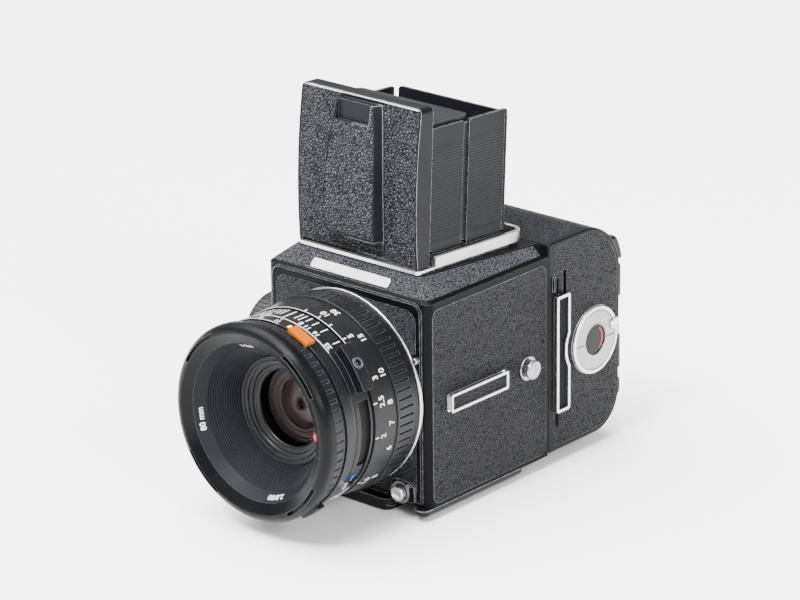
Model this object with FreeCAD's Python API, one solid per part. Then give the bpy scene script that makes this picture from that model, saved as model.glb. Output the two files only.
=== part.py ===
import FreeCAD, Part
import os
import math

# Single lens reflex camera for medium format roll film: cube body, lens, film
# magazine and folding waist level hood. Millimetres, +Z up, lens towards -Y.
# The origin is on the tripod socket's axis, in the face that stands on the table.

os.makedirs("parts", exist_ok=True)
V = FreeCAD.Vector

# Clearances
running = 0.05
play = 0.3
seat = 0.1

# Body
body_width = 82.0
body_depth = 72.5
body_wall = 2.0
front_wall = 3.0
side_height = 83.0
body_edge_r = 3.5
socket_to_front = 31.0
shoulder_rise = 8.0
shoulder_run_side = 9.5
shoulder_run_front = 7.0
top_lean = 3.0
leather_t = 0.6
leather_proud = 0.15
leather_corner_r = 3.5
side_leather_margin = 1.6
finder_opening = 59.0
film_gate = 57.0
throat_r = 34.0

# Front plate, with the fittings round the lens
front_plate_t = 2.4
front_plate_proud = 0.8
front_plate_inset = 3.0
front_plate_corner_r = 4.0
front_leather_margin = 2.6

# Base plate: the foot that takes the tripod, and a rail under each side
foot_t = 5.0
foot_width = 44.0
foot_length = 60.0
foot_front = 1.5
foot_edge_r = 1.2
base_inset = 0.9
rail_foot_w = 6.4
rail_foot_drop = 2.7
rail_foot_front = 2.0
socket_r = 4.05
small_socket_r = 2.65
small_socket_pitch = 16.0
socket_depth = 9.0
socket_boss_r = 7.5

# Lens axis and the bayonet
axis_height = 42.0
mount_ring_r = 39.0
mount_ring_t = 1.3
mount_bore_r = 28.0
mount_collar_depth = 4.0
lug_count = 3
lug_height = 2.2
lug_t = 1.6
lug_angle = 30.0

# Lens barrel, all measured forward from the body mount
flange_r = 38.3
flange_t = 3.0
helicoid_r = 34.2
helicoid_wall = 1.8
helicoid_length = 19.5
focus_length = 21.4
focus_core_r = 38.0
focus_wall = 1.2
grip_r = 39.2
grip_length = 9.8
grip_ribs = 72
grip_groove = 0.9
grip_groove_depth = 0.55
sleeve_wall = 1.9
sleeve_back = 15.0
scale_r = 37.4
scale_length = 9.3
ring_bore_r = 34.6
aperture_r = 37.9
aperture_length = 5.8
shutter_r = 37.4
shutter_length = 6.1
shutter_scallops = 60
scallop_depth = 0.45
scallop_w = 1.2
shutter_lug_from = -60.0
shutter_lug_to = -46.0
shutter_lug_rise = 2.8
shutter_lug_l = 3.8
bezel_r = 39.1
bezel_length = 6.0
bezel_round = 3.4
bezel_bore_r = 31.4
bezel_face_r = 35.5
filter_slot_count = 4
filter_slot_r = 35.7
filter_slot_w = 1.5
filter_slot_depth = 1.8
filter_slot_angle = 31.0
filter_slot_first = 45.5
ring_gap = 0.3

# Light baffle, glass and shutter inside the lens
name_ring_in_r = 28.0
name_ring_drop = 2.4
name_ring_slope = 4.4
cone_end_r = 22.0
cone_depth = 12.6
cone_ribs = 14
cone_rib_back = 0.3
cone_wall = 1.6
cone_flange = 3.0
cell_r = 16.2
cell_depth = 7.3
front_glass_r = 16.18
front_glass_t = 4.0
front_glass_dome = 2.4
shutter_case_r = 31.4
shutter_case_wall = 1.6
case_floor_t = 1.6
case_roof_t = 2.4
blade_space = 6.0
blade_t = 0.25
blade_count = 5
blade_in_r = 15.7
blade_out_r = 22.6
blade_pivot_r = 25.6
blade_pin_r = 0.8
blade_pin_l = 1.0
blade_sweep_angle = 96.0
blade_tail_angle = 3.0
blade_lobe_angle = 4.0
blade_lobe_in = 1.0
blade_lobe_out = 1.6
blade_end_gap = 0.5
rear_cell_r = 16.6
rear_cell_length = 17.0
rear_glass_r = 14.0
rear_glass_t = 7.0

# Flash socket and stop-down lever on the lens
socket_house_from = 23.0
socket_house_to = 50.0
socket_house_r = 41.3
socket_house_w = 5.7
flash_socket_angle = 38.0
flash_socket_r = 2.3
flash_socket_proud = 0.5
lever_slot_from = -40.0
lever_slot_to = 18.0
lever_slot_depth = 1.5
lever_slot_w = 5.6
lever_t = 0.9
lever_from = -36.0
lever_to = -24.0
coupling_tab_angle = 67.0
coupling_tab_w = 10.0
coupling_tab_t = 1.3
coupling_tab_over = 1.7
coupling_tab_l = 4.8

# Mirror and rear shutter flaps
box_wall = 1.5
box_half_width = 31.5
ledge_height = 3.0
screen_t = 2.4
mirror_length = 57.0
mirror_side_gap = 2.5
mirror_t = 1.6
mirror_pin_r = 1.2
mirror_hinge_from_back = 7.6
mirror_hinge_below_screen = 4.4
flap_t = 0.9
flap_pin_r = 0.8
flap_side_gap = 1.0
flap_from_back = 4.6
flap_from_top = 10.8
flap_from_floor = 11.8
flap_gap = 0.4

# Release button, lock and lens catch on the front plate
release_from_side = 12.5
release_height = 5.3
release_r = 3.1
release_proud = 3.2
escutcheon_r = 5.2
escutcheon_t = 0.9
lock_r_in = 4.5
lock_t = 0.7
lock_arm = 2.4
lock_rest = 40.0
catch_from_side = 5.0
catch_height = 60.4
catch_r = 1.2
catch_proud = 1.6

# Winding crank on the right hand side
crank_from_front = 20.0
crank_height = 45.0
crank_base_r = 18.0
crank_base_t = 2.2
crank_knob_r = 16.5
crank_knob_t = 14.0
crank_waist_r = 12.0
crank_knurl = 48
crank_arm_t = 2.6
crank_arm_w = 9.0
crank_arm_reach = 20.0
crank_hinge_from_rim = 3.6
crank_pin_r = 0.8
crank_lug_t = 1.6
crank_handle_r = 3.2
crank_handle_l = 7.0
crank_spindle_r = 4.0
crank_arm_turn = 33.0

# Rail and strap fittings on the sides
rail_from_front = 11.4
rail_length = 34.0
rail_bottom = 37.4
rail_height = 7.4
rail_bar = 1.0
rail_proud = 2.5
rail_lip = 0.8
rail_neck = 1.1
lug_from_front = 59.6
lug_centre_height = 41.0
lug_flange_r = 4.95
lug_flange_t = 0.9
lug_neck_r = 1.9
lug_neck_l = 1.4
lug_head_r = 4.0
lug_head_t = 1.6

# Hood
hood_half = 29.1
hood_wall = 1.1
hood_front = 8.0
hood_back = 60.9
hood_panel = 50.2
lid_half = 30.0
lid_height = 64.4
lid_t = 1.6
lid_bow = 1.9
lid_foot_gap = 1.3
lid_flange = 6.6
lid_flange_t = 0.9
lid_edge_r = 2.2
bulge_foot = (8.8, 11.6, 13.4, 1.6)
bulge_sections = ((9.9, 12.6, 13.8, 6.3), (26.0, 12.7, 13.8, 7.2), (45.0, 11.6, 13.1, 6.2),
                  (62.4, 8.9, 11.2, 4.2))
bulge_plate_low = 54.6
bulge_plate_half = 8.3
bulge_plate_depth = 0.7
base_t = 1.4
base_half = 30.6
hinge_low = 3.0
hinge_step = 2.2
knuckle_r = 0.95
hinge_pin_r = 0.55
hood_split = 35.4
hood_split_gap = 3.1
hood_web_t = 0.5
hood_side_short = 1.4
ear_t = 1.6
back_half = 26.6
back_height = 45.8
back_hinge_height = 7.7
finder_rail_out = 31.7
finder_rail_t = 1.7
finder_rail_high = 5.9
finder_rail_start = 16.4
finder_rail_end = 70.3
finder_rail_corner_r = 6.0
magnifier_half = 27.3
magnifier_length = 27.4
magnifier_t = 1.3
magnifier_lens_r = 12.5
magnifier_pin_r = 0.6

# Magazine
magazine_depth = 45.0
magazine_drop = 0.5
magazine_top = 88.0
magazine_back_r = 22.0
magazine_foot_r = 15.0
magazine_wall = 2.0
magazine_edge_r = 1.5
magazine_joint = 0.3
plate_margin = 2.2
plate_t = 2.4
plate_front_margin = 3.6
gate_wall = 9.0
slide_from_front = 5.6
slide_t = 0.8
slide_height = 61.0
slide_length = 72.0
handle_from_front = 2.4
handle_width = 8.2
handle_low = 17.5
handle_high = 66.2
handle_proud = 2.3
handle_bar = 1.2
handle_scallop_r = 12.6
handle_scallop_depth = 2.0
handle_scallop_height = 42.6
guard_width = 1.0
guard_low = 68.0
guard_high = 74.0
spool_flange_r = 12.4
spool_core_r = 6.0
spool_length = 64.0
spool_flange_t = 1.4
spool_film_r = 10.6
supply_spool_y = 29.5
supply_spool_z = 18.5
take_up_y = 27.5
take_up_z = 68.5
frame_t = 1.6
key_from_front = 28.5
key_height = 40.8
key_outer_r = 14.0
key_proud = 1.3
key_disc_r = 12.3
key_disc_t = 2.0
key_well_r = 6.3
key_tab_from_r = 6.9
key_tab_to_r = 11.6
key_tab_t = 0.9
key_pin_r = 0.25
key_pin_l = 0.45
key_bed_gap = 0.15
pocket_t = 3.1
pocket_low = 11.0
pocket_high = 67.0
pocket_half = 39.0
pocket_notches = ((18.5, 22.5), (37.0, 53.0))
pocket_notch_depth = 4.0
latch_height = 74.5
latch_w = 13.0
latch_h = 10.5
latch_proud = 2.7
latch_travel = 4.0
latch_x = 33.5
latch_tongue_w = 6.0
latch_ribs = 4
latch_tongue_h = 2.4
mag_crank_from_front = 27.5
mag_crank_height = 68.5
mag_crank_r = 9.5
mag_crank_t = 3.4
mag_crank_arm_t = 1.6
window_r = 3.4
window_t = 0.8

# Places worked out from the sizes above
y_front = -socket_to_front
y_back = y_front + body_depth
z_bot = foot_t
z_side = z_bot + side_height
z_top = z_side + shoulder_rise
z_axis = z_bot + axis_height
half = body_width / 2
release_x = half - release_from_side
catch_x = half - catch_from_side
y_shell = y_front + front_plate_proud
y_hood = y_front + hood_front
y_mount = y_front - mount_ring_t


def in_x(w):
    """Plane across X: first value along Y, second along Z."""
    return lambda u, v: V(w, u, v)


def in_y(w):
    """Plane across Y: first value along X, second along Z."""
    return lambda u, v: V(u, w, v)


def in_z(w):
    """Plane across Z: first value along X, second along Y."""
    return lambda u, v: V(u, v, w)


def outline(points, plane):
    """Closed wire through (u, v, corner radius) points."""
    n = len(points)
    cuts = []
    for i in range(n):
        u, v, r = points[i]
        pu, pv, _ = points[i - 1]
        nu, nv, _ = points[(i + 1) % n]
        la = math.hypot(pu - u, pv - v)
        lb = math.hypot(nu - u, nv - v)
        a = ((pu - u) / la, (pv - v) / la)
        b = ((nu - u) / lb, (nv - v) / lb)
        if r <= 0:
            cuts.append(((u, v), None, (u, v)))
            continue
        turn = math.acos(max(-1.0, min(1.0, a[0] * b[0] + a[1] * b[1])))
        t = r / math.tan(turn / 2)
        m = (a[0] + b[0], a[1] + b[1])
        ml = math.hypot(*m)
        reach = r / math.sin(turn / 2) - r
        mid = (u + m[0] / ml * reach, v + m[1] / ml * reach)
        cuts.append(((u + a[0] * t, v + a[1] * t), mid, (u + b[0] * t, v + b[1] * t)))
    edges = []
    for i in range(n):
        start, mid, end = cuts[i]
        if mid:
            edges.append(Part.Arc(plane(*start), plane(*mid), plane(*end)).toShape())
        nxt = cuts[(i + 1) % n][0]
        if math.hypot(nxt[0] - end[0], nxt[1] - end[1]) > 1e-6:
            edges.append(Part.makeLine(plane(*end), plane(*nxt)))
    return Part.Wire(edges)


def rect(u0, u1, v0, v1, r=0.0):
    return [(u0, v0, r), (u1, v0, r), (u1, v1, r), (u0, v1, r)]


def prism(points, plane_of, w0, w1):
    """Outline in the plane at w0, drawn out to w1."""
    wire = outline(points, plane_of(w0))
    face = Part.Face(wire)
    return face.extrude(plane_of(w1)(0, 0) - plane_of(w0)(0, 0))


def box(x0, x1, y0, y1, z0, z1):
    return Part.makeBox(x1 - x0, y1 - y0, z1 - z0, V(x0, y0, z0))


def cyl(r, start, end):
    d = end - start
    return Part.makeCylinder(r, d.Length, start, d)


def cyl_y(r, y0, y1, x=0.0, z=None):
    z = z_axis if z is None else z
    return cyl(r, V(x, y0, z), V(x, y1, z))


def tube_y(r_out, r_in, y0, y1, x=0.0, z=None):
    return cyl_y(r_out, y0, y1, x, z).cut(cyl_y(r_in, y0 - 1, y1 + 1, x, z))


def turned(points):
    """Solid turned round the lens axis from (radius, y, corner radius) points."""
    face = Part.Face(outline(points, in_z(z_axis)))
    return face.revolve(V(0, 0, z_axis), V(0, 1, 0), 360)


def sector(r0, r1, y0, y1, a0, a1):
    """Part ring round the lens axis; angles run from +X up towards +Z."""
    face = Part.Face(outline(rect(r0, r1, y0, y1), in_z(z_axis)))
    solid = face.revolve(V(0, 0, z_axis), V(0, -1, 0), a1 - a0)
    solid.rotate(V(0, 0, z_axis), V(0, -1, 0), a0)
    return solid


def spun(solid, angle, centre=None, axis=None):
    out = solid.copy()
    out.rotate(centre or V(0, 0, z_axis), axis or V(0, -1, 0), angle)
    return out


def around(solid, count, first=0.0):
    """Compound of copies spread evenly round the lens axis."""
    return Part.makeCompound([spun(solid, first + 360.0 * i / count) for i in range(count)])


def mirrored(solid):
    return solid.mirror(V(0, 0, 0), V(1, 0, 0))


def fuse(parts):
    out = parts[0]
    for p in parts[1:]:
        out = out.fuse(p)
    return out.removeSplitter()


def leaned(solid):
    """The hood and its seat lean back about the front edge of the seat."""
    out = solid.copy()
    out.rotate(V(0, y_hood, z_top), V(1, 0, 0), -top_lean)
    return out


nodes = {}


def add(name, shape):
    solids = shape.Solids
    nodes[name] = solids[0] if len(solids) == 1 else Part.makeCompound(solids)


# Body shell: a cast box with sloping shoulders, its top leaning with the hood
def body_shell():
    lower = prism(rect(-half, half, y_shell, y_back), in_z, z_bot, z_side)
    edges = [e for e in lower.Edges
             if abs(e.tangentAt(e.FirstParameter).z) > 0.99 and e.CenterOfMass.y < y_front + 5]
    lower = lower.makeFillet(body_edge_r, edges)
    foot = outline([(-half, y_shell, body_edge_r), (half, y_shell, body_edge_r),
                    (half, y_back, 0), (-half, y_back, 0)], in_z(z_side))
    top_half = half - shoulder_run_side
    crown = outline([(-top_half, y_shell + shoulder_run_front, body_edge_r),
                     (top_half, y_shell + shoulder_run_front, body_edge_r),
                     (top_half, y_back, 0), (-top_half, y_back, 0)], in_z(z_top))
    shoulder = Part.makeLoft([foot, crown], True, True)
    shell = lower.fuse(shoulder).removeSplitter()
    above = leaned(box(-body_width, body_width, y_hood - body_depth, y_back + body_depth, z_top,
                       z_top + 2 * shoulder_rise))
    shell = shell.cut(above)
    cavity = box(-half + body_wall, half - body_wall, y_shell + front_wall,
                 y_back - body_wall, z_bot + body_wall, z_side - body_wall)
    opening = finder_opening / 2
    well = prism(rect(-opening, opening, y_hood + 3.0, y_hood + 3.0 + finder_opening - 5.0, 2.0),
                 in_z, z_side - body_wall - 1, z_top + 5)
    throat = cyl_y(throat_r, y_shell - 2, y_shell + front_wall + 1)
    gate = film_gate / 2 + 0.5
    rear = prism(rect(-gate, gate, z_axis - gate, z_axis + gate, 2.0), in_y,
                 y_back - body_wall - 1, y_back + 1)
    plate_seat = prism(front_plate_points(seat), in_y, y_shell - 1, y_front + front_plate_t)
    shell = shell.cut(cavity).cut(well).cut(throat).cut(rear).cut(plate_seat)
    for side in (-1, 1):
        shell = shell.cut(side_leather(side, 0.02, 0.5))
    shell = shell.cut(shoulder_skin(0.02))
    # drillings for the crank spindle, the two front controls and the foot's bosses
    spindle = cyl(crank_spindle_r + running, V(-half - 1, crank_y(), crank_z()),
                  V(-half + body_wall + 1, crank_y(), crank_z()))
    shell = shell.cut(spindle)
    shell = shell.cut(cyl_y(release_r + running, y_shell, y_shell + front_wall + 1, release_x, release_z()))
    shell = shell.cut(cyl_y(catch_r + running, y_shell, y_shell + front_wall + 1, catch_x, catch_z()))
    shell = shell.cut(base_web(seat, -1.0))
    for y in (0.0, small_socket_pitch):
        shell = shell.cut(cyl(socket_boss_r + seat, V(0, y, z_bot - 1),
                              V(0, y, z_bot + body_wall + 1)))
    # hooks that the magazine hangs on
    for side in (-1, 1):
        hook = box(side * 24 - 3, side * 24 + 3, y_back - 0.5, y_back + 2.2,
                   z_bot + 4.0, z_bot + 6.0)
        shell = shell.fuse(hook)
    return shell.removeSplitter()


def front_plate_points(grow):
    w = half - front_plate_inset + grow
    low = z_bot + 1.5 - grow
    high = z_side + grow
    return [(-w, low, 1.5), (w, low, 1.5), (w, high, front_plate_corner_r),
            (-w, high, front_plate_corner_r)]


def front_leather_points(grow):
    w = half - front_plate_inset - front_leather_margin + grow
    low = z_bot + 1.5 + front_leather_margin - grow
    high = z_side - front_leather_margin - 0.8 + grow
    return [(-w, low, 2.5), (w, low, 2.5), (w, high, 5.0), (-w, high, 5.0)]


def front_plate():
    plate = prism(front_plate_points(0.0), in_y, y_front, y_front + front_plate_t)
    rim = [e for e in plate.Edges if abs(e.CenterOfMass.y - y_front) < 1e-6]
    plate = plate.makeChamfer(0.6, rim)
    plate = plate.cut(cyl_y(throat_r, y_front - 1, y_front + front_plate_t + 1))
    bed = prism(front_leather_points(0.05), in_y, y_front - 0.01, y_front + leather_t - leather_proud)
    bed = bed.cut(cyl_y(mount_ring_r - 1.0, y_front - 1, y_front + 2))
    bed = bed.cut(escutcheon(0.3))
    bed = bed.cut(cyl_y(catch_r + 1.4, y_front - 1, y_front + 2, catch_x, catch_z()))
    plate = plate.cut(bed)
    plate = plate.fuse(escutcheon(0.0))
    hole = cyl_y(release_r + running, y_front - 3, y_front + front_plate_t + 1, release_x, release_z())
    plate = plate.cut(hole)
    plate = plate.cut(cyl_y(catch_r + running, y_front - 1, y_front + front_plate_t + 1,
                            catch_x, catch_z()))
    return plate.removeSplitter()


def release_z():
    return z_bot + release_height


def catch_z():
    return z_bot + catch_height


def escutcheon(grow):
    """Dark raised shield round the release button."""
    z = release_z()
    return prism([(release_x - escutcheon_r - grow, z - 3.4 - grow, 3.0),
                  (release_x + escutcheon_r + 1.2 + grow, z - 3.4 - grow, 1.0),
                  (release_x + escutcheon_r + 1.2 + grow, z + escutcheon_r - 0.4 + grow, 3.0),
                  (release_x - escutcheon_r - grow, z + escutcheon_r - 0.4 + grow, 3.0)],
                 in_y, y_front - escutcheon_t, y_front + 1.0)


def front_leather():
    skin = prism(front_leather_points(0.0), in_y, y_front - leather_proud,
                 y_front + leather_t - leather_proud)
    skin = skin.cut(cyl_y(mount_ring_r + seat, y_front - 1, y_front + 2))
    skin = skin.cut(escutcheon(0.3))
    skin = skin.cut(cyl_y(catch_r + 1.4, y_front - 1, y_front + 2, catch_x, catch_z()))
    return skin


def side_leather(side, grow, out):
    """Leather inlay of one side wall; grown for its bed."""
    m = side_leather_margin
    pts = rect(y_shell + m + 1.0 - grow, y_back - m + 0.4 + grow, z_bot + m - grow,
               z_side - m - 1.0 + grow, leather_corner_r)
    x0 = side * (half - leather_t + leather_proud)
    x1 = side * (half + leather_proud + out)
    return prism(pts, in_x, x0, x1)


def shoulder_skin(grow):
    """Leather on the sloping shoulders, front and both sides, in one piece."""
    t = leather_t
    a = 0.16
    b = 0.92
    side_at = lambda k: half - shoulder_run_side * k
    front_at = lambda k: y_shell + shoulder_run_front * k
    z_at = lambda k: z_side + shoulder_rise * k
    outer = []
    inner = []
    for k in (a, b):
        for wires, shrink in ((outer, 0.0), (inner, t * 1.6)):
            s = side_at(k) - shrink + leather_proud
            f = front_at(k) + shrink - leather_proud
            wires.append(outline([(-s, f, body_edge_r), (s, f, body_edge_r),
                                  (s, y_back - 3.0, 0), (-s, y_back - 3.0, 0)], in_z(z_at(k))))
    skin = Part.makeLoft(outer, True, True).cut(
        Part.makeLoft(inner, True, True)).cut(
        box(-body_width, body_width, y_back - 3.2 - 1e-3, y_back + 5, z_side, z_top + 5))
    above = leaned(box(-body_width, body_width, y_hood - body_depth, y_back + body_depth, z_top - 0.5,
                       z_top + 2 * shoulder_rise))
    return skin.cut(above)


# Base plate: web let into the underside, tripod foot and the two rails
def base_web(grow, below):
    w = half - 1.2 + grow
    y0 = y_shell + 1.2 - grow
    y1 = y_front + foot_length - foot_front - 0.4 + grow
    return prism(rect(-w, w, y0, y1, 2.5), in_z, z_bot + below, z_bot + base_inset)


def base_plate():
    y0 = y_front - foot_front
    plate = prism(rect(-foot_width / 2, foot_width / 2, y0, y0 + foot_length, 4.0),
                  in_z, 0.0, z_bot)
    low = [e for e in plate.Edges if abs(e.CenterOfMass.z) < 1e-6]
    plate = plate.makeFillet(foot_edge_r, low)
    for side in (-1, 1):
        groove = prism([(side * (foot_width / 2 + 1), 1.6, 0), (side * (foot_width / 2 + 1), 3.2, 0),
                        (side * (foot_width / 2 - 1.6), 2.4, 0)], in_y, y0 - 1, y0 + foot_length + 1)
        plate = plate.cut(groove)
        y1 = y_front - rail_foot_front
        x0 = half - rail_foot_w
        rail = prism(rect(x0, half, y1, y0 + foot_length, 3.0), in_z, z_bot - rail_foot_drop, z_bot)
        low = [e for e in rail.Edges if abs(e.CenterOfMass.z - z_bot + rail_foot_drop) < 1e-6]
        rail = rail.makeFillet(1.4, low)
        plate = plate.fuse(rail if side > 0 else mirrored(rail))
    plate = plate.fuse(base_web(0.0, -0.3))
    for y in (0.0, small_socket_pitch):
        plate = plate.fuse(cyl(socket_boss_r, V(0, y, z_bot - 0.5), V(0, y, socket_depth + 1.0)))
    for y, r in ((0.0, socket_r), (small_socket_pitch, small_socket_r)):
        plate = plate.cut(cyl(r, V(0, y, -1), V(0, y, socket_depth)))
    return plate.removeSplitter()


# Inner frame: mirror chamber with the ledge that carries the screen
def mirror_box():
    z0 = z_bot + body_wall
    z1 = z_side - body_wall
    y0 = y_front + mount_collar_depth + play + lug_t + 0.4
    y1 = y_back - body_wall
    frame = box(-box_half_width, box_half_width, y0, y1, z0, z1)
    frame = frame.cut(box(-box_half_width + box_wall, box_half_width - box_wall,
                          y0 - 1, y1 - box_wall, z0 + box_wall, z1 - ledge_height))
    ledge = mirror_half() + 0.8
    frame = frame.cut(box(-ledge, ledge, y0 - 1, y1 - box_wall - 3.0, z1 - ledge_height - 1, z1 + 1))
    gate = film_gate / 2
    frame = frame.cut(prism(rect(-gate, gate, z_axis - gate, z_axis + gate, 1.0), in_y, y1 - 4, y1 + 1))
    for y in (0.0, small_socket_pitch):
        frame = frame.cut(cyl(socket_boss_r + seat, V(0, y, z0 - 1), V(0, y, z0 + box_wall + 4)))
    for y, z, r in ((mirror_y(), mirror_z(), mirror_pin_r), (flap_y(), flap_z(1), flap_pin_r),
                    (flap_y(), flap_z(-1), flap_pin_r)):
        frame = frame.cut(cyl(r + running, V(-box_half_width - 1, y, z), V(box_half_width + 1, y, z)))
    return frame


def mirror_y():
    return y_back - mirror_hinge_from_back


def mirror_z():
    return z_side - body_wall - mirror_hinge_below_screen


def flap_y():
    return y_back - flap_from_back


def flap_z(side):
    return z_side - flap_from_top if side > 0 else z_bot + flap_from_floor


def focusing_screen():
    z0 = z_side - body_wall
    w = finder_opening / 2 - seat
    y0 = y_hood + 3.0 + seat
    return prism(rect(-w, w, y0, y0 + finder_opening - 5.0 - 2 * seat, 1.8), in_z, z0, z0 + screen_t)


def mirror_half():
    return box_half_width - box_wall - mirror_side_gap


def mirror():
    """Plate hanging at 45 degrees from its pin, towards the lens and down."""
    y, z = mirror_y(), mirror_z()
    w = mirror_half()
    plate = box(-w, w, y - mirror_length, y - 1.0, z - mirror_t / 2, z + mirror_t / 2)
    plate = plate.fuse(cyl(mirror_pin_r + 0.5, V(-w, y, z), V(w, y, z)))
    plate = plate.fuse(cyl(mirror_pin_r, V(-box_half_width, y, z), V(box_half_width, y, z)))
    for x in (-w + 1.0, w - 3.0):
        rib = box(x, x + 2.0, y - mirror_length + 8.0, y - 2.0, z - mirror_t / 2 - 1.2, z)
        plate = plate.fuse(rib)
    plate.rotate(V(0, y, z), V(1, 0, 0), 45.0)
    return plate.removeSplitter()


def flap(side):
    y, z = flap_y(), flap_z(side)
    w = box_half_width - box_wall - flap_side_gap
    tip = (flap_z(1) + flap_z(-1)) / 2 + side * flap_gap / 2
    plate = box(-w, w, y - flap_t / 2, y + flap_t / 2, min(z, tip), max(z, tip))
    plate = plate.fuse(cyl(flap_pin_r + 0.3, V(-w, y, z), V(w, y, z)))
    plate = plate.fuse(cyl(flap_pin_r, V(-box_half_width, y, z), V(box_half_width, y, z)))
    return plate.removeSplitter()


# Body mount: bright ring with a collar behind, cut for the lugs
def lens_mount_ring():
    ring = turned([(mount_bore_r, y_mount, 0), (mount_ring_r, y_mount, 0.6), (mount_ring_r, y_front, 0),
                   (throat_r - seat, y_front, 0), (throat_r - seat, y_front + mount_collar_depth, 0),
                   (mount_bore_r, y_front + mount_collar_depth, 0)])
    slot = sector(mount_bore_r - 1, mount_bore_r + lug_height + play, y_mount - 1,
                  y_front + mount_collar_depth + 1, -lug_angle / 2 - 3, lug_angle / 2 + 3)
    return ring.cut(around(slot, lug_count, 90 + 60))


# Lens, rear to front
y_flange = y_mount - running
y_focus = y_flange - flange_t - ring_gap
y_scale = y_focus - focus_length - ring_gap
y_aperture = y_scale - scale_length - ring_gap
y_shutter = y_aperture - aperture_length - ring_gap
y_bezel = y_shutter - shutter_length - ring_gap
y_rim = y_bezel - bezel_length
y_web = y_scale
y_name = y_rim + name_ring_drop
y_cone_start = y_name + name_ring_slope
y_cone_end = y_cone_start + cone_depth
y_cell_end = y_cone_end + cell_depth
y_glass = y_web - 1.4
focus_bore_r = focus_core_r - focus_wall
sleeve_r = focus_bore_r - play
sleeve_bore_r = sleeve_r - sleeve_wall


def lens_flange():
    """Fixed rear of the lens: flange, bayonet tube and the tube of the helicoid."""
    bore = mount_bore_r - 2.6
    tube = mount_bore_r - play
    y_tail = y_front + mount_collar_depth + play + lug_t
    body = turned([(bore, y_flange - flange_t, 0), (helicoid_r - helicoid_wall, y_flange - flange_t, 0),
                   (helicoid_r - helicoid_wall, y_flange - flange_t - helicoid_length, 0),
                   (helicoid_r, y_flange - flange_t - helicoid_length, 0),
                   (helicoid_r, y_flange - flange_t, 0), (flange_r, y_flange - flange_t, 0.4),
                   (flange_r, y_flange, 0.4), (tube, y_flange, 0), (tube, y_tail, 0), (bore, y_tail, 0)])
    lug = sector(tube - 0.5, mount_bore_r + lug_height, y_tail - lug_t, y_tail,
                 -lug_angle / 2, lug_angle / 2)
    return body.fuse(around(lug, lug_count, 90)).removeSplitter()


def focus_ring():
    y1 = y_focus - focus_length
    y_grip = y_focus - grip_length
    ring = turned([(helicoid_r + running, y_focus, 0), (focus_core_r, y_focus, 0),
                   (focus_core_r, y_grip, 0), (grip_r - 0.5, y_grip, 0.3), (scale_r + 0.6, y1, 0.3),
                   (focus_bore_r, y1, 0), (focus_bore_r, y_focus - 3.0, 0),
                   (helicoid_r + running, y_focus - 3.0, 0)])
    return ring


def focus_grip():
    y1 = y_focus - grip_length
    ring = turned([(focus_core_r, y_focus, 0), (grip_r, y_focus, 0.4), (grip_r, y1, 0.4),
                   (focus_core_r, y1, 0)])
    groove = box(grip_r - grip_groove_depth, grip_r + 1, y1 + 1.0, y_focus - 1.0,
                 z_axis - grip_groove / 2, z_axis + grip_groove / 2)
    return ring.cut(around(groove, grip_ribs))


def lens_barrel():
    """Moving barrel: sleeve in the focus ring, depth scale, seats of the front rings."""
    y_sleeve = y_scale + sleeve_back
    inner = shutter_case_r + 0.1
    barrel = turned([(sleeve_bore_r, y_sleeve, 0), (sleeve_r, y_sleeve, 0.3), (sleeve_r, y_scale, 0),
                     (scale_r, y_scale, 0.3), (scale_r, y_scale - scale_length, 0.3),
                     (ring_bore_r - running, y_scale - scale_length, 0),
                     (ring_bore_r - running, y_bezel, 0), (bezel_bore_r + 0.2, y_bezel, 0),
                     (bezel_bore_r + 0.2, y_web - 2.0, 0), (19.6, y_web - 2.0, 0), (19.6, y_web, 0),
                     (sleeve_bore_r, y_web, 0)])
    y0 = y_scale - socket_house_w - 0.4
    house = sector(scale_r - 1.0, socket_house_r, y0, y_scale - 0.4, socket_house_from, socket_house_to)
    a = math.radians(flash_socket_angle)
    barrel = barrel.fuse(house)
    ymid = y_scale - 0.4 - socket_house_w / 2
    out = V(math.cos(a), 0, math.sin(a))
    well = cyl(flash_socket_r, V(0, ymid, z_axis) + out * (socket_house_r - 2.0),
               V(0, ymid, z_axis) + out * (socket_house_r + 2.0))
    barrel = barrel.cut(well)
    slot = sector(scale_r - lever_slot_depth, scale_r + 2, y_scale - 1.4 - lever_slot_w, y_scale - 1.4,
                  lever_slot_from, lever_slot_to)
    return barrel.cut(slot).removeSplitter()


def flash_socket():
    a = math.radians(flash_socket_angle)
    ymid = y_scale - 0.4 - socket_house_w / 2
    out = V(math.cos(a), 0, math.sin(a))
    base = V(0, ymid, z_axis)
    ring = cyl(flash_socket_r, base + out * (socket_house_r - 2.0),
               base + out * (socket_house_r + flash_socket_proud))
    ring = ring.cut(cyl(flash_socket_r - 0.7, base + out * (socket_house_r - 1.5),
                        base + out * (socket_house_r + 3)))
    pin = cyl(0.5, base + out * (socket_house_r - 2.0), base + out * (socket_house_r - 0.2))
    return ring.fuse(pin)


def stop_down_lever():
    y0 = y_scale - 1.4 - lever_slot_w + play
    r0 = scale_r - lever_slot_depth + running
    plate = sector(r0, r0 + lever_t, y0, y_scale - 1.4 - play, lever_from, lever_to)
    tab = sector(r0, scale_r + 1.7, y0, y0 + 1.6, lever_from, lever_from + 5.0)
    return plate.fuse(tab).removeSplitter()


def aperture_ring():
    y1 = y_aperture - aperture_length
    ring = turned([(ring_bore_r, y_aperture, 0), (aperture_r - 0.4, y_aperture, 0.2),
                   (aperture_r, y_aperture - 1.2, 0.3), (aperture_r, y1, 0.3), (ring_bore_r, y1, 0)])
    return ring


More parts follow.
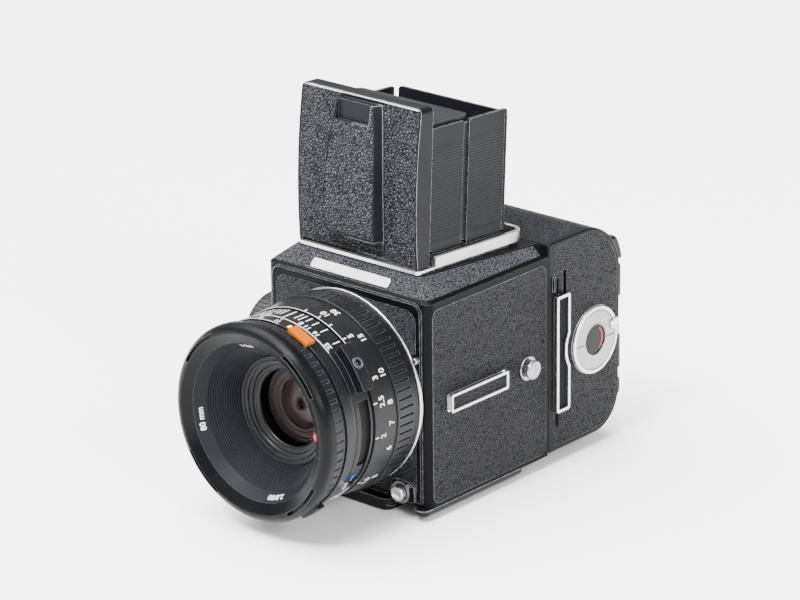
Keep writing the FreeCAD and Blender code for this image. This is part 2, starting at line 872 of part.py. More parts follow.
def coupling_tab():
    """Coloured index key seated on the aperture ring."""
    y1 = y_aperture - aperture_length
    w = coupling_tab_w / 2
    y0 = y1 - coupling_tab_over
    tab = box(aperture_r - 0.6, aperture_r + coupling_tab_t, y0, y0 + coupling_tab_l,
              z_axis - w, z_axis + w)
    tab = tab.cut(cyl_y(aperture_r, y0 - 1, y0 + coupling_tab_l + 1))
    top = [e for e in tab.Edges if e.CenterOfMass.x > aperture_r + coupling_tab_t - 0.05]
    tab = tab.makeFillet(0.35, top)
    return spun(tab, coupling_tab_angle)


def shutter_ring():
    y1 = y_shutter - shutter_length
    ring = turned([(ring_bore_r, y_shutter, 0), (shutter_r, y_shutter, 0.3), (shutter_r, y1, 0.3),
                   (ring_bore_r, y1, 0)])
    notch = box(shutter_r - scallop_depth, shutter_r + 1, y1 + 0.9, y_shutter - 1.1,
                z_axis - scallop_w / 2, z_axis + scallop_w / 2)
    ring = ring.cut(around(notch, shutter_scallops))
    lug = sector(shutter_r - 1.0, shutter_r + shutter_lug_rise, y1 + 0.4, y1 + 0.4 + shutter_lug_l,
                 shutter_lug_from, shutter_lug_to)
    return ring.fuse(lug).removeSplitter()


def front_bezel():
    """Rounded front ring with the filter bayonet."""
    ring = turned([(bezel_bore_r, y_bezel, 0), (bezel_r, y_bezel, 0.5), (bezel_r, y_rim, bezel_round),
                   (bezel_face_r, y_rim, 0), (bezel_bore_r, y_name, 0)])
    slot = sector(filter_slot_r, filter_slot_r + filter_slot_w, y_rim - 1, y_rim + filter_slot_depth,
                  -filter_slot_angle / 2, filter_slot_angle / 2)
    return ring.cut(around(slot, filter_slot_count, filter_slot_first))


def baffle_cone():
    """Sloping name ring, ribbed light baffle and the front glass's cell, in one turning."""
    y_flange_back = y_name + cone_flange
    pts = [(bezel_bore_r, y_name, 0)]
    for i in range(cone_ribs):
        k0 = i / cone_ribs
        k1 = (i + 1) / cone_ribs
        r0 = name_ring_in_r + (cone_end_r - name_ring_in_r) * k0
        r1 = name_ring_in_r + (cone_end_r - name_ring_in_r) * k1
        y0 = y_cone_start + cone_depth * k0
        y1 = y_cone_start + cone_depth * k1
        pts += [(r0, y0, 0), (r0 - 0.02, y1 - cone_rib_back, 0), (r1 + 0.25, y1 - 0.05, 0)]
    pts += [(cone_end_r, y_cone_end, 0), (cell_r + 0.8, y_cone_end + cell_depth * 0.4, 0),
            (cell_r, y_cone_end + cell_depth * 0.6, 0), (cell_r, y_glass, 0), (cell_r - 1.0, y_glass, 0),
            (cell_r - 1.0, y_web - 0.1, 0), (19.4, y_web - 0.1, 0), (19.4, y_web - 2.1, 0),
            (cone_end_r + cone_wall, y_web - 2.1, 0), (name_ring_in_r + cone_wall, y_flange_back, 0),
            (bezel_bore_r, y_flange_back, 0)]
    return turned(pts)


def front_glass():
    """Deep front element: domed face, flat seat."""
    y0 = y_glass - front_glass_t
    r = front_glass_r
    h = front_glass_dome
    big = (r * r + h * h) / (2 * h)
    ball = Part.makeSphere(big, V(0, y0 - h + big, z_axis))
    return ball.common(cyl_y(r, y0 - h - 1, y_glass))


def shutter_case():
    """Between-lens shutter: drum with the blade space, and the rear cell's tube."""
    y0 = y_web
    y1 = y0 + case_floor_t
    y2 = y1 + blade_space
    y3 = y2 + case_roof_t
    y4 = y3 + rear_cell_length
    r = shutter_case_r
    case = turned([(blade_in_r - 0.4, y0, 0), (r, y0, 0), (r, y3, 0.8), (rear_cell_r, y3, 0),
                   (rear_cell_r, y4, 0.4), (rear_glass_r, y4, 0),
                   (rear_glass_r, y4 - rear_glass_t - 0.8, 0),
                   (rear_glass_r - 1.0, y4 - rear_glass_t - 0.8, 0), (rear_glass_r - 1.0, y2, 0),
                   (r - shutter_case_wall, y2, 0), (r - shutter_case_wall, y1, 0),
                   (blade_in_r - 0.4, y1, 0)])
    pin = cyl_y(blade_pin_r + running, y2 - 0.1, y2 + blade_pin_l + 0.2, blade_pivot_r, z_axis)
    return case.cut(around(pin, blade_count))


def rear_glass():
    y4 = y_web + case_floor_t + blade_space + case_roof_t + rear_cell_length
    r = rear_glass_r - 0.02
    h = 1.6
    big = (r * r + h * h) / (2 * h)
    ball = Part.makeSphere(big, V(0, y4 - 0.8 - big, z_axis))
    return ball.common(cyl_y(r, y4 - 0.8 - rear_glass_t, y4 + 1))


def iris_blade(i):
    """One leaf of the iris, with its pin into the case behind."""
    y1 = y_web + case_floor_t
    y2 = y1 + blade_space
    step = (blade_space - 2 * blade_end_gap) / blade_count
    y0 = y1 + blade_end_gap + step * i
    leaf = sector(blade_in_r, blade_out_r, y0, y0 + blade_t, -blade_tail_angle, blade_sweep_angle)
    lobe = sector(blade_in_r + blade_lobe_in, blade_pivot_r + blade_lobe_out, y0, y0 + blade_t,
                  -blade_lobe_angle, blade_lobe_angle)
    pin = cyl_y(blade_pin_r, y0, y2 + blade_pin_l, blade_pivot_r, z_axis)
    leaf = leaf.fuse(lobe).fuse(pin).removeSplitter()
    return spun(leaf, 360.0 * i / blade_count)


# Controls on the front plate
def release_button():
    z = release_z()
    y0 = y_front - escutcheon_t - release_proud
    y1 = y_shell + front_wall - 0.4
    body = cyl_y(release_r, y0, y1, release_x, z)
    rim = [e for e in body.Edges if abs(e.CenterOfMass.y - y0) < 1e-6]
    body = body.makeFillet(0.7, rim)
    dish = Part.makeSphere(6.0, V(release_x, y0 - 5.6, z))
    return body.cut(dish)


def release_lock():
    """Small lever that turns round the button on its shield."""
    z = release_z()
    y1 = y_front - escutcheon_t - running
    y0 = y1 - lock_t
    ring = tube_y(lock_r_in, release_r + play, y0, y1, release_x, z)
    x0 = release_x + lock_r_in - 0.4
    x1 = release_x + lock_r_in + lock_arm
    arm = prism([(x0, z - 0.9, 0), (x1, z - 0.9, 0.8), (x1, z + 0.9, 0.8), (x0, z + 0.9, 0)],
                in_y, y0, y1)
    tip = box(x1 - 1.2, x1 - 0.4, y0 - 0.9, y0 + 0.1, z - 0.8, z + 0.8)
    lever = fuse([ring, arm, tip])
    return spun(lever, lock_rest, V(release_x, 0, z))


def lens_catch():
    z = catch_z()
    y0 = y_front - catch_proud
    body = cyl_y(catch_r, y0, y_shell + front_wall - 0.4, catch_x, z)
    rim = [e for e in body.Edges if abs(e.CenterOfMass.y - y0) < 1e-6]
    return body.makeFillet(0.4, rim)


# Winding crank on the right hand side
def crank_y():
    return y_front + crank_from_front


def crank_z():
    return z_bot + crank_height


def turned_x(points, y, z):
    """Solid turned round a line along X from (x, radius, corner radius) points."""
    plane = lambda u, v: V(u, y + v, z)
    face = Part.Face(outline(points, plane))
    return face.revolve(V(0, y, z), V(1, 0, 0), 360)


def crank_base():
    x0 = -half - leather_proud
    ring = turned_x([(x0, crank_spindle_r + running, 0), (x0 - crank_base_t, crank_spindle_r + running, 0),
                     (x0 - crank_base_t, crank_base_r - 1.5, 0.3), (x0, crank_base_r, 0)],
                    crank_y(), crank_z())
    return ring


def crank_face():
    return -half - leather_proud - crank_base_t - running - crank_knob_t


def crank_hinge():
    """Line that the arm folds about, before the turn of the knob: X and Y."""
    x = crank_face() - play - crank_arm_t / 2
    return x, crank_y() - crank_knob_r + crank_hinge_from_rim


def crank_turned(solid):
    return spun(solid, crank_arm_turn, V(0, crank_y(), crank_z()), V(1, 0, 0))


def winding_knob():
    x0 = -half - leather_proud - crank_base_t - running
    x1 = crank_face()
    y, z = crank_y(), crank_z()
    knob = turned_x([(-half + body_wall + 3.0, 0, 0), (-half + body_wall + 3.0, crank_spindle_r, 0.4),
                     (x0, crank_spindle_r, 0), (x0, crank_waist_r, 0), (x0 - 4.5, crank_waist_r, 1.0),
                     (x0 - 6.5, crank_knob_r, 0.8), (x1, crank_knob_r, 1.0), (x1, 0, 0)], y, z)
    notch = box(x1 + 1.0, x0 - 7.5, y + crank_knob_r - 0.4, y + crank_knob_r + 1, z - 0.5, z + 0.5)
    centre = V(0, y, z)
    cuts = [spun(notch, 360.0 * i / crank_knurl, centre, V(1, 0, 0)) for i in range(crank_knurl)]
    knob = knob.cut(Part.makeCompound(cuts))
    # pocket for the folded handle, and the lugs and pin that the arm turns on
    hx, hy = crank_hinge()
    far = hy + crank_arm_reach
    r = crank_handle_r + play
    pocket = prism([(far - r, z - r, r - 0.1), (far + r + 1.6, z - r, r - 0.1),
                    (far + r + 1.6, z + r, r - 0.1), (far - r, z + r, r - 0.1)], in_x,
                   x1 - 1, x1 + crank_handle_l)
    knob = knob.cut(crank_turned(pocket))
    w = crank_arm_w / 2 + running
    lug = prism([(hy - 1.3, z + w, 0), (hy + 1.3, z + w, 0), (hy + 1.3, z + w + crank_lug_t, 0.4),
                 (hy - 1.3, z + w + crank_lug_t, 0.4)], in_x, hx - 1.2, x1 + 0.2)
    other = lug.mirror(V(0, 0, z), V(0, 0, 1))
    pin = cyl(crank_pin_r, V(hx, hy, z - w - 0.8), V(hx, hy, z + w + 0.8))
    return knob.fuse([crank_turned(lug), crank_turned(other), crank_turned(pin)]).removeSplitter()


def crank_arm():
    """Folding arm lying across the knob, its handle sunk in the pocket."""
    hx, hy = crank_hinge()
    z = crank_z()
    w = crank_arm_w / 2
    t = crank_arm_t / 2
    far = hy + crank_arm_reach
    arm = prism([(hy, z - w, 0), (far + 3.6, z - w + 1.2, 2.5), (far + 3.6, z + w - 1.2, 2.5),
                 (hy, z + w, 0)], in_x, hx - t, hx + t)
    arm = arm.fuse(cyl(t, V(hx, hy, z - w), V(hx, hy, z + w)))
    arm = arm.fuse(cyl(crank_handle_r, V(hx, far, z), V(hx + t + crank_handle_l - play, far, z)))
    arm = arm.cut(cyl(crank_pin_r + running, V(hx, hy, z - w - 1), V(hx, hy, z + w + 1)))
    return crank_turned(arm.removeSplitter())


# Rail and strap lugs
def accessory_rail():
    """Rail with an undercut neck between its base and its bordered face."""
    x0 = half + leather_proud
    y0 = y_front + rail_from_front
    z0 = z_bot + rail_bottom
    y1 = y0 + rail_length
    z1 = z0 + rail_height
    n = rail_neck
    b = rail_bar
    xm = x0 + rail_proud - rail_lip
    rail = prism(rect(y0, y1, z0, z1, 0.6), in_x, x0, x0 + 0.5)
    rail = rail.fuse(prism(rect(y0 + n, y1 - n, z0 + n, z1 - n, 0.4), in_x, x0 + 0.5, xm))
    rail = rail.fuse(prism(rect(y0, y1, z0, z1, 0.8), in_x, xm, x0 + rail_proud))
    bed = prism(rect(y0 + b, y1 - b, z0 + b, z1 - b, 0.4), in_x, x0 + rail_proud - 0.5, x0 + rail_proud + 1)
    return rail.cut(bed).removeSplitter()


def strap_lug():
    y = y_front + lug_from_front
    z = z_bot + lug_centre_height
    x0 = half + leather_proud
    x1 = x0 + lug_flange_t
    x2 = x1 + lug_neck_l
    return turned_x([(x0, 0, 0), (x0, lug_flange_r, 0), (x1, lug_flange_r, 0.4), (x1, lug_neck_r, 0),
                     (x2, lug_neck_r, 0), (x2, lug_head_r, 0.4), (x2 + lug_head_t, lug_head_r, 0.9),
                     (x2 + lug_head_t, 0, 0)], y, z)


# Hood: drawn upright over the seat, then leaned with it
def hinge_z(side):
    """The left walls fold first and lie under the right ones."""
    return z_top + hinge_low + (hinge_step if side > 0 else 0.0)


def hinge_x():
    return hood_half - hood_wall / 2


def finder_base():
    y0 = y_hood - 0.6
    y1 = y_front + hood_back + 1.6
    plate = prism(rect(-base_half, base_half, y0, y1, 2.0), in_z, z_top, z_top + base_t)
    opening = finder_opening / 2 - 2.2
    plate = plate.cut(prism(rect(-opening, opening, y_hood + 4.5, y_front + hood_back - 4.5, 2.0), in_z,
                            z_top - 1, z_top + base_t + 1))
    for side in (-1, 1):
        for y, t in ear_places():
            ear = box(hinge_x() - 1.1, hinge_x() + 0.9, y, y + t, z_top + base_t - 0.2,
                      hinge_z(side) + 1.1)
            pins = cyl(hinge_pin_r, V(hinge_x(), y - 2.5 if y > y_hood + 9 else y + 0.5, hinge_z(side)),
                       V(hinge_x(), y + t + 2.5 if y < y_front + hood_back - 6 else y + 0.5, hinge_z(side)))
            part = ear.fuse(pins)
            plate = plate.fuse(part if side > 0 else mirrored(part))
        ear = box(back_half + running, back_half + 1.2, back_y() - 0.7, back_y() + 1.2,
                  z_top + base_t - 0.2, back_z() + 1.0)
        pin = cyl(hinge_pin_r, V(back_half - 2.0, back_y(), back_z()),
                  V(back_half + 0.8, back_y(), back_z()))
        part = ear.fuse(pin)
        plate = plate.fuse(part if side > 0 else mirrored(part))
    return plate.removeSplitter()


def ear_places():
    """Start and thickness of each row of hinge ears."""
    split = y_front + hood_split
    return ((y_hood + lid_flange + play, ear_t), (split - hood_split_gap / 2 + 0.3, hood_split_gap - 0.6),
            (y_front + hood_back - 1.6 - ear_t, ear_t))


def hood_side(side, rear):
    """Half of one folding wall, with its hinge barrel."""
    split = y_front + hood_split
    ears = ear_places()
    if rear:
        y0 = split + hood_split_gap / 2
        y1 = y_front + hood_back - hood_side_short
        k0, k1 = ears[1][0] + ears[1][1] + running, ears[2][0] - running
    else:
        y0 = y_hood + lid_flange + play
        y1 = split - hood_split_gap / 2
        k0, k1 = ears[0][0] + ears[0][1] + running, ears[1][0] - running
    z = hinge_z(side)
    x0 = hood_half - hood_wall
    top = z + hood_panel
    panel = prism([(k0 + 0.6, z, 0), (k1 - 0.6, z, 0), (k1 - 0.6, z + 2.2, 0), (y1, z + 2.2, 0),
                   (y1, top, 1.2), (y0, top, 1.2), (y0, z + 2.2, 0), (k0 + 0.6, z + 2.2, 0)],
                  in_x, x0, hood_half)
    barrel = cyl(knuckle_r, V(hinge_x(), k0, z), V(hinge_x(), k1, z))
    if rear:
        bead = cyl(0.8, V(hood_half - 0.3, y1 - 0.8, z + 2.2), V(hood_half - 0.3, y1 - 0.8, top - 2.0))
        panel = panel.fuse(bead)
    else:
        web = box(x0, x0 + hood_web_t, y1 - 0.2, y1 + hood_split_gap - running, z + 2.6, top - 1.2)
        panel = panel.fuse(web)
    panel = panel.fuse(barrel)
    panel = panel.cut(cyl(hinge_pin_r + running, V(hinge_x(), k0 - 1, z), V(hinge_x(), k1 + 1, z)))
    panel = panel.removeSplitter()
    return panel if side > 0 else mirrored(panel)


def back_y():
    return y_front + hood_back - 0.1


def back_z():
    return z_top + back_hinge_height


def hood_back_panel():
    z = back_z()
    y = back_y()
    w = back_half - running
    panel = prism([(-w, z, 0), (w, z, 0), (w, z + back_height, 1.5), (-w, z + back_height, 1.5)],
                  in_y, y - hood_wall / 2, y + hood_wall / 2)
    panel = panel.fuse(cyl(knuckle_r, V(-w, y, z), V(w, y, z)))
    lip = box(-w + 3, w - 3, y + hood_wall / 2 - 0.1, y + hood_wall / 2 + 0.5, z + back_height - 2.2,
              z + back_height - 1.0)
    panel = panel.fuse(lip)
    for side in (-1, 1):
        panel = panel.cut(cyl(hinge_pin_r + running, V(side * (w - 2.6), y, z), V(side * (w + 1), y, z)))
    return panel.removeSplitter()


def lid_blank(margin, back):
    """Bowed slab between the outline drawn in by a margin and a plane behind."""
    z0 = z_top + base_t + margin
    z1 = z_top + lid_height - margin
    y0 = y_hood + margin
    zm = (z0 + z1) / 2
    arc = Part.Arc(V(0, y0, z0), V(0, y0 - lid_bow, zm), V(0, y0, z1)).toShape()
    lines = [Part.makeLine(V(0, y0, z1), V(0, back, z1)), Part.makeLine(V(0, back, z1), V(0, back, z0)),
             Part.makeLine(V(0, back, z0), V(0, y0, z0))]
    face = Part.Face(Part.Wire([arc] + lines))
    slab = face.extrude(V(2 * (lid_half - margin), 0, 0))
    slab.translate(V(margin - lid_half, 0, 0))
    r = max(lid_edge_r - margin, 0.3)
    w = lid_half - margin
    mask = prism([(-w, z0, 0.3), (w, z0, 0.3), (w, z1, r), (-w, z1, r)], in_y, y0 - 9, back + 1)
    return slab.common(mask)


def hood_lid():
    """Front lid: bowed shallow tray, its raised centre tapering to the top."""
    y0 = y_hood
    y1 = y_hood + lid_flange
    tray = lid_blank(0.0, y1)
    t = lid_flange_t
    inner = box(-lid_half + t, lid_half - t, y0 + lid_t, y1 + 1, z_top, z_top + lid_height - t)
    tray = tray.cut(inner)
    hollow = lid_blank(lid_t, y0 + lid_t + 0.5)
    tray = tray.cut(hollow)
    foot = box(-lid_half + 1.6, lid_half - 1.6, y0 - 6, y0 + lid_t + 1, z_top,
               z_top + base_t + lid_foot_gap)
    tray = tray.cut(foot)

    def section(h, w, base, out):
        return outline([(-base, y0 + 0.6, 0), (-w, y0 - out, 1.0), (w, y0 - out, 1.0),
                        (base, y0 + 0.6, 0)], in_z(z_top + h))

    bulge = Part.makeLoft([section(*b) for b in bulge_sections], True, False)
    toe = Part.makeLoft([section(*bulge_foot), section(*bulge_sections[0])], True, True)
    depth = bulge_sections[-1][3] - bulge_plate_depth
    recess = box(-bulge_plate_half, bulge_plate_half, y0 - 12, y0 - depth, z_top + bulge_plate_low,
                 z_top + lid_height)
    tray = tray.fuse(bulge.fuse(toe).cut(recess))
    mz = magnifier_z()
    my = magnifier_y()
    for side in (-1, 1):
        x0 = magnifier_half + 2 * running
        ear = box(x0, lid_half - t + 0.1, y0 + lid_t - 0.1, my + 1.6, mz - 1.4, mz + 1.4)
        pin = cyl(magnifier_pin_r, V(magnifier_half - 2.0, my, mz), V(x0 + 0.4, my, mz))
        part = ear.fuse(pin)
        tray = tray.fuse(part if side > 0 else mirrored(part))
    return tray.removeSplitter()


def magnifier_y():
    return y_hood + lid_t + 1.5


def magnifier_z():
    return hinge_z(1) + hood_panel + seat + magnifier_t / 2


def magnifier_arm():
    y, z = magnifier_y(), magnifier_z()
    w = magnifier_half
    y1 = y + magnifier_length
    plate = prism([(-w, y, 0), (w, y, 0), (w, y1, 2.5), (-w, y1, 2.5)], in_z, z - magnifier_t / 2,
                  z + magnifier_t / 2)
    plate = plate.fuse(cyl(magnifier_pin_r + 0.55, V(-w, y, z), V(w, y, z)))
    for side in (-1, 1):
        plate = plate.cut(cyl(magnifier_pin_r + running, V(side * (w - 2.6), y, z), V(side * (w + 1), y, z)))
    eye = magnifier_eye()
    plate = plate.cut(cyl(magnifier_lens_r, V(0, eye, z - 5), V(0, eye, z + 5)))
    return plate.removeSplitter()


def magnifier_eye():
    return magnifier_y() + magnifier_length - magnifier_lens_r - 2.0


def magnifier_lens():
    z = magnifier_z()
    eye = magnifier_eye()
    r = magnifier_lens_r - 0.02
    h = 0.6
    big = (r * r + h * h) / (2 * h)
    core = cyl(r, V(0, eye, z - 2), V(0, eye, z + 2))
    low = Part.makeSphere(big, V(0, eye, z - magnifier_t / 2 + big - 0.2))
    high = Part.makeSphere(big, V(0, eye, z + magnifier_t / 2 - big + 0.2))
    return core.common(low).common(high)


def finder_rail():
    """Bright strip along both sides of the hood's foot and round behind it."""
    o = finder_rail_out
    i = o - finder_rail_t
    y0 = y_front + finder_rail_start
    y1 = y_front + finder_rail_end
    r = finder_rail_corner_r
    z0 = z_top + base_t
    z1 = z_top + finder_rail_high
    outer = prism([(-o, y0, 0), (o, y0, 0), (o, y1, r), (-o, y1, r)], in_z, z0, z1)
    inner = prism([(-i, y0 - 1, 0), (i, y0 - 1, 0), (i, y1 - finder_rail_t, r - finder_rail_t),
                   (-i, y1 - finder_rail_t, r - finder_rail_t)], in_z, z0 - 1, z1 + 1)
    strip = outer.cut(inner)
    top = [e for e in strip.Edges if abs(e.CenterOfMass.z - z1) < 1e-6]
    return strip.makeFillet(0.5, top)


# Magazine
y_mag = y_back + magazine_joint
y_mag_back = y_mag + magazine_depth
z_mag = z_bot + magazine_drop
z_mag_top = z_bot + magazine_top


def magazine_points(m, front=None):
    """Side outline of the magazine, drawn in by a margin m."""
    y0 = y_mag + (m if front is None else front)
    y1 = y_mag_back - m
    return [(y0, z_mag + m, magazine_edge_r), (y1, z_mag + m, magazine_foot_r - m),
            (y1, z_mag_top - m, magazine_back_r - m), (y0, z_mag_top - m, magazine_edge_r)]


def slide_y():
    return y_mag + slide_from_front


def plate_blank(grow, x0, x1):
    """End plate of the film insert, stepped back round the slide's handle."""
    plate = prism(magazine_points(plate_margin - grow, plate_front_margin - grow), in_x, x0, x1)
    back = y_mag + handle_from_front + handle_width + play - grow
    return plate.cut(box(x0 - 1, x1 + 1, y_mag, back, z_bot + handle_low - play + grow,
                         z_bot + guard_high + 1.0 - grow))


def magazine_shell():
    shell = prism(magazine_points(0.0), in_x, -half, half)
    rims = [e for e in shell.Edges if abs(abs(e.CenterOfMass.x) - half) < 1e-6]
    shell = shell.makeFillet(0.8, rims)
    # bay for the film insert, open on the left hand side
    bay = prism(magazine_points(magazine_wall, gate_wall), in_x, -half + magazine_wall, half + 1)
    shell = shell.cut(bay)
    shell = shell.cut(plate_blank(seat, half - plate_t, half + 1))
    gate = film_gate / 2
    shell = shell.cut(prism(rect(-gate, gate, z_axis - gate, z_axis + gate, 1.0), in_y, y_mag - 1,
                            y_mag + gate_wall + 1))
    # slit for the dark slide
    h = slide_height / 2
    shell = shell.cut(box(half + 0.4 - slide_length - play, half + 2, slide_y() - slide_t / 2 - 0.1,
                          slide_y() + slide_t / 2 + 0.1, z_axis - h - 0.2, z_axis + h + 0.2))
    # pockets for the body's hooks
    for side in (-1, 1):
        shell = shell.cut(box(side * 24 - 3.6, side * 24 + 3.6, y_mag - 1, y_mag + 3.4,
                              z_bot + 3.0, z_bot + 7.6))
    # slot of the latch and bore of the winding spindle
    shell = shell.cut(latch_tongue(seat, latch_travel))
    shell = shell.cut(cyl(2.0 + running, V(-half - 1, mag_crank_y(), mag_crank_z()),
                          V(-half + magazine_wall + 1, mag_crank_y(), mag_crank_z())))
    guard = box(half - 0.5, half + 1.0, y_mag + handle_from_front, y_mag + handle_from_front + guard_width,
                z_bot + guard_low, z_bot + guard_high)
    shell = shell.fuse(guard)
    window = cyl(window_r, V(-half - 1, mag_crank_y() - 15.0, mag_crank_z() + 3.0),
                 V(-half + window_t, mag_crank_y() - 15.0, mag_crank_z() + 3.0))
    shell = shell.cut(window)
    return shell.removeSplitter()


def slide_pocket():
    """Holder for the drawn slide, a plate that follows the magazine's back."""
    x1 = pocket_half
    x0 = pocket_half - pocket_notch_depth
    side = [(x1, z_bot + pocket_low, 1.5)]
    for low, high in pocket_notches:
        side += [(x1, z_bot + low, 1.0), (x0, z_bot + low, 0.9), (x0, z_bot + high, 0.9),
                 (x1, z_bot + high, 1.0)]
    side.append((x1, z_bot + pocket_high, 1.5))
    pts = side + [(-x, z, r) for x, z, r in reversed(side)]
    plate = prism(magazine_points(-pocket_t), in_x, -half, half)
    plate = plate.cut(prism(magazine_points(0.0), in_x, -half - 1, half + 1))
    plate = plate.common(prism(pts, in_y, y_mag_back - 8, y_mag_back + 8))
    room = box(-slide_height / 2 - 0.5, slide_height / 2 + 0.5, y_mag_back, y_mag_back + slide_t + 0.3,
               z_mag + magazine_foot_r + 2.0, z_bot + pocket_high + 1)
    return plate.cut(room)


def latch_place():
    """Height of the latch, and the depth of the magazine's curved back there."""
    z = z_bot + latch_height
    dz = z - (z_mag_top - magazine_back_r)
    return y_mag_back - magazine_back_r + math.sqrt(magazine_back_r ** 2 - dz ** 2), z


def magazine_latch():
    """Sliding catch that follows the sloping back of the magazine."""
    y, z = latch_place()
    w = latch_w / 2
    h = latch_h / 2
    bar = prism(magazine_points(-latch_proud), in_x, latch_x - w, latch_x + w)
    bar = bar.cut(prism(magazine_points(-seat), in_x, -half - 1, half + 20))
    bar = bar.common(prism([(latch_x - w, z - h, 1.2), (latch_x + w, z - h, 1.2), (latch_x + w, z + h, 1.2),
                            (latch_x - w, z + h, 1.2)], in_y, y - 9, y + 9))
    pitch = latch_w / (latch_ribs + 1)
    for i in range(latch_ribs):
        x = latch_x - w + pitch * (i + 1)
        groove = prism(magazine_points(-latch_proud - 1), in_x, x - 0.6, x + 0.6)
        groove = groove.cut(prism(magazine_points(-latch_proud + 0.6), in_x, x - 1, x + 1))
        bar = bar.cut(groove.common(box(x - 1, x + 1, y - 9, y + 9, z - h + 1.4, z + h - 1.4)))
    return bar.fuse(latch_tongue(0.0, 0.0)).removeSplitter()


def latch_tongue(grow, travel):
    """Guide of the latch through the wall; longer towards -X for its slot."""
    y, z = latch_place()
    w = latch_tongue_w / 2 + grow
    h = latch_tongue_h / 2 + grow
    return box(latch_x - w - travel, latch_x + w, y - magazine_wall - 0.2, y + 1.5, z - h, z + h)


def dark_slide():
    h = slide_height / 2
    blade = box(half + 0.4 - slide_length, half + 0.6, slide_y() - slide_t / 2, slide_y() + slide_t / 2,
                z_axis - h, z_axis + h)
    y0 = y_mag + handle_from_front
    y1 = y0 + handle_width
    z0 = z_bot + handle_low
    z1 = z_bot + handle_high
    x0 = half + play
    zc = z_bot + handle_scallop_height
    yc = y1 - handle_scallop_depth + handle_scallop_r
    grip = prism([(y0, z0, 1.2), (y1, z0, 1.2), (y1, z1, 1.2), (y0, z1, 1.2)], in_x, x0, x0 + handle_proud)
    scallop = cyl(handle_scallop_r, V(x0 - 1, yc, zc), V(x0 + 10, yc, zc))
    grip = grip.cut(scallop)
    b = handle_bar
    recess = prism([(y0 + b, z0 + b, 0.5), (y1 - b, z0 + b, 0.5), (y1 - b, z1 - b, 0.5),
                    (y0 + b, z1 - b, 0.5)], in_x, x0 + handle_proud - 0.8, x0 + handle_proud + 1)
    recess = recess.cut(cyl(handle_scallop_r + b, V(x0 - 1, yc, zc), V(x0 + 10, yc, zc)))
    neck = box(half + 0.3, x0 + 0.5, slide_y() - slide_t / 2, slide_y() + slide_t / 2, z0 + 3, z1 - 3)
    return blade.fuse(neck).fuse(grip.cut(recess)).removeSplitter()


def insert_plate():
    """Left hand end of the film insert, with the collar of the key."""
    y = y_mag + key_from_front
    z = z_bot + key_height
    plate = plate_blank(0.0, half - plate_t + seat, half + leather_proud)
    plate = plate.cut(box(half - 10, half + 5, slide_y() - slide_t / 2 - 0.3, slide_y() + slide_t / 2 + 0.3,
                          z_axis - slide_height / 2 - 1, z_axis + slide_height / 2 + 1))
    collar = turned_x([(half, key_disc_r + running, 0), (half, key_outer_r, 0),
                       (half + key_proud, key_outer_r, 0.5), (half + key_proud, key_disc_r + running, 0.2)],
                      y, z)
    plate = plate.cut(cyl(key_disc_r + running, V(half - 5, y, z), V(half + 5, y, z)))
    plate = plate.fuse(collar)
    back = cyl(key_disc_r + 2.0, V(half - plate_t + seat - 1.0, y, z), V(half - plate_t + seat, y, z))
    back = back.cut(cyl(2.0, V(half - 8, y, z), V(half, y, z)))
    return plate.fuse(back).removeSplitter()


def key_disc():
    y = y_mag + key_from_front
    z = z_bot + key_height
    x0 = half - plate_t + seat + running
    x1 = half + key_proud - 0.2
    disc = turned_x([(x0, 0, 0), (x0, key_disc_r, 0), (x1, key_disc_r, 0.3), (x1, key_well_r, 0.2),
                     (x1 - 0.8, key_well_r, 0), (x1 - 0.8, 0, 0)], y, z)
    bed = key_segment(key_bed_gap, x1 - key_tab_t - key_bed_gap, x1 + 1)
    bed = bed.fuse(box(x1 - key_tab_t - key_bed_gap, x1 + 1, y - key_tab_to_r - key_bed_gap,
                       y + key_tab_to_r + key_bed_gap, z - key_tab_t / 2 - key_bed_gap, z + 0.1))
    bed = bed.cut(cyl(key_tab_from_r - key_bed_gap, V(x0 - 1, y, z), V(x1 + 2, y, z)))
    return disc.cut(bed).cut(key_pins(running))


def key_hinge_x():
    return half + key_proud - 0.2 - key_tab_t / 2


def key_pins(grow):
    """Both pins that the key's half ring folds on."""
    y = y_mag + key_from_front
    z = z_bot + key_height
    x = key_hinge_x()
    end = key_tab_to_r + key_pin_l + (grow if grow else 0.0)
    pins = cyl(key_pin_r + grow, V(x, y - end, z), V(x, y + end, z))
    return pins.cut(box(x - 2, x + 2, y - key_tab_from_r - 0.1, y + key_tab_from_r + 0.1, z - 2, z + 2))


def key_segment(grow, x0, x1):
    """Part ring on the left hand side plane, the folding half of the key."""
    y = y_mag + key_from_front
    z = z_bot + key_height
    ring = cyl(key_tab_to_r + grow, V(x0, y, z), V(x1, y, z)).cut(
        cyl(key_tab_from_r - grow, V(x0 - 1, y, z), V(x1 + 1, y, z)))
    keep = box(x0 - 1, x1 + 1, y - 20, y + 20, z, z + 20)
    return ring.common(keep)


def key_tab():
    """Folding half ring, its ends rounded about the pins."""
    x1 = half + key_proud - 0.2
    y = y_mag + key_from_front
    z = z_bot + key_height
    knuckle = cyl(key_tab_t / 2, V(key_hinge_x(), y - key_tab_to_r, z), V(key_hinge_x(), y + key_tab_to_r, z))
    knuckle = knuckle.cut(box(x1 - 3, x1 + 3, y - key_tab_from_r, y + key_tab_from_r, z - 2, z + 2))
    return fuse([key_segment(0.0, x1 - key_tab_t, x1), knuckle, key_pins(0.0)])


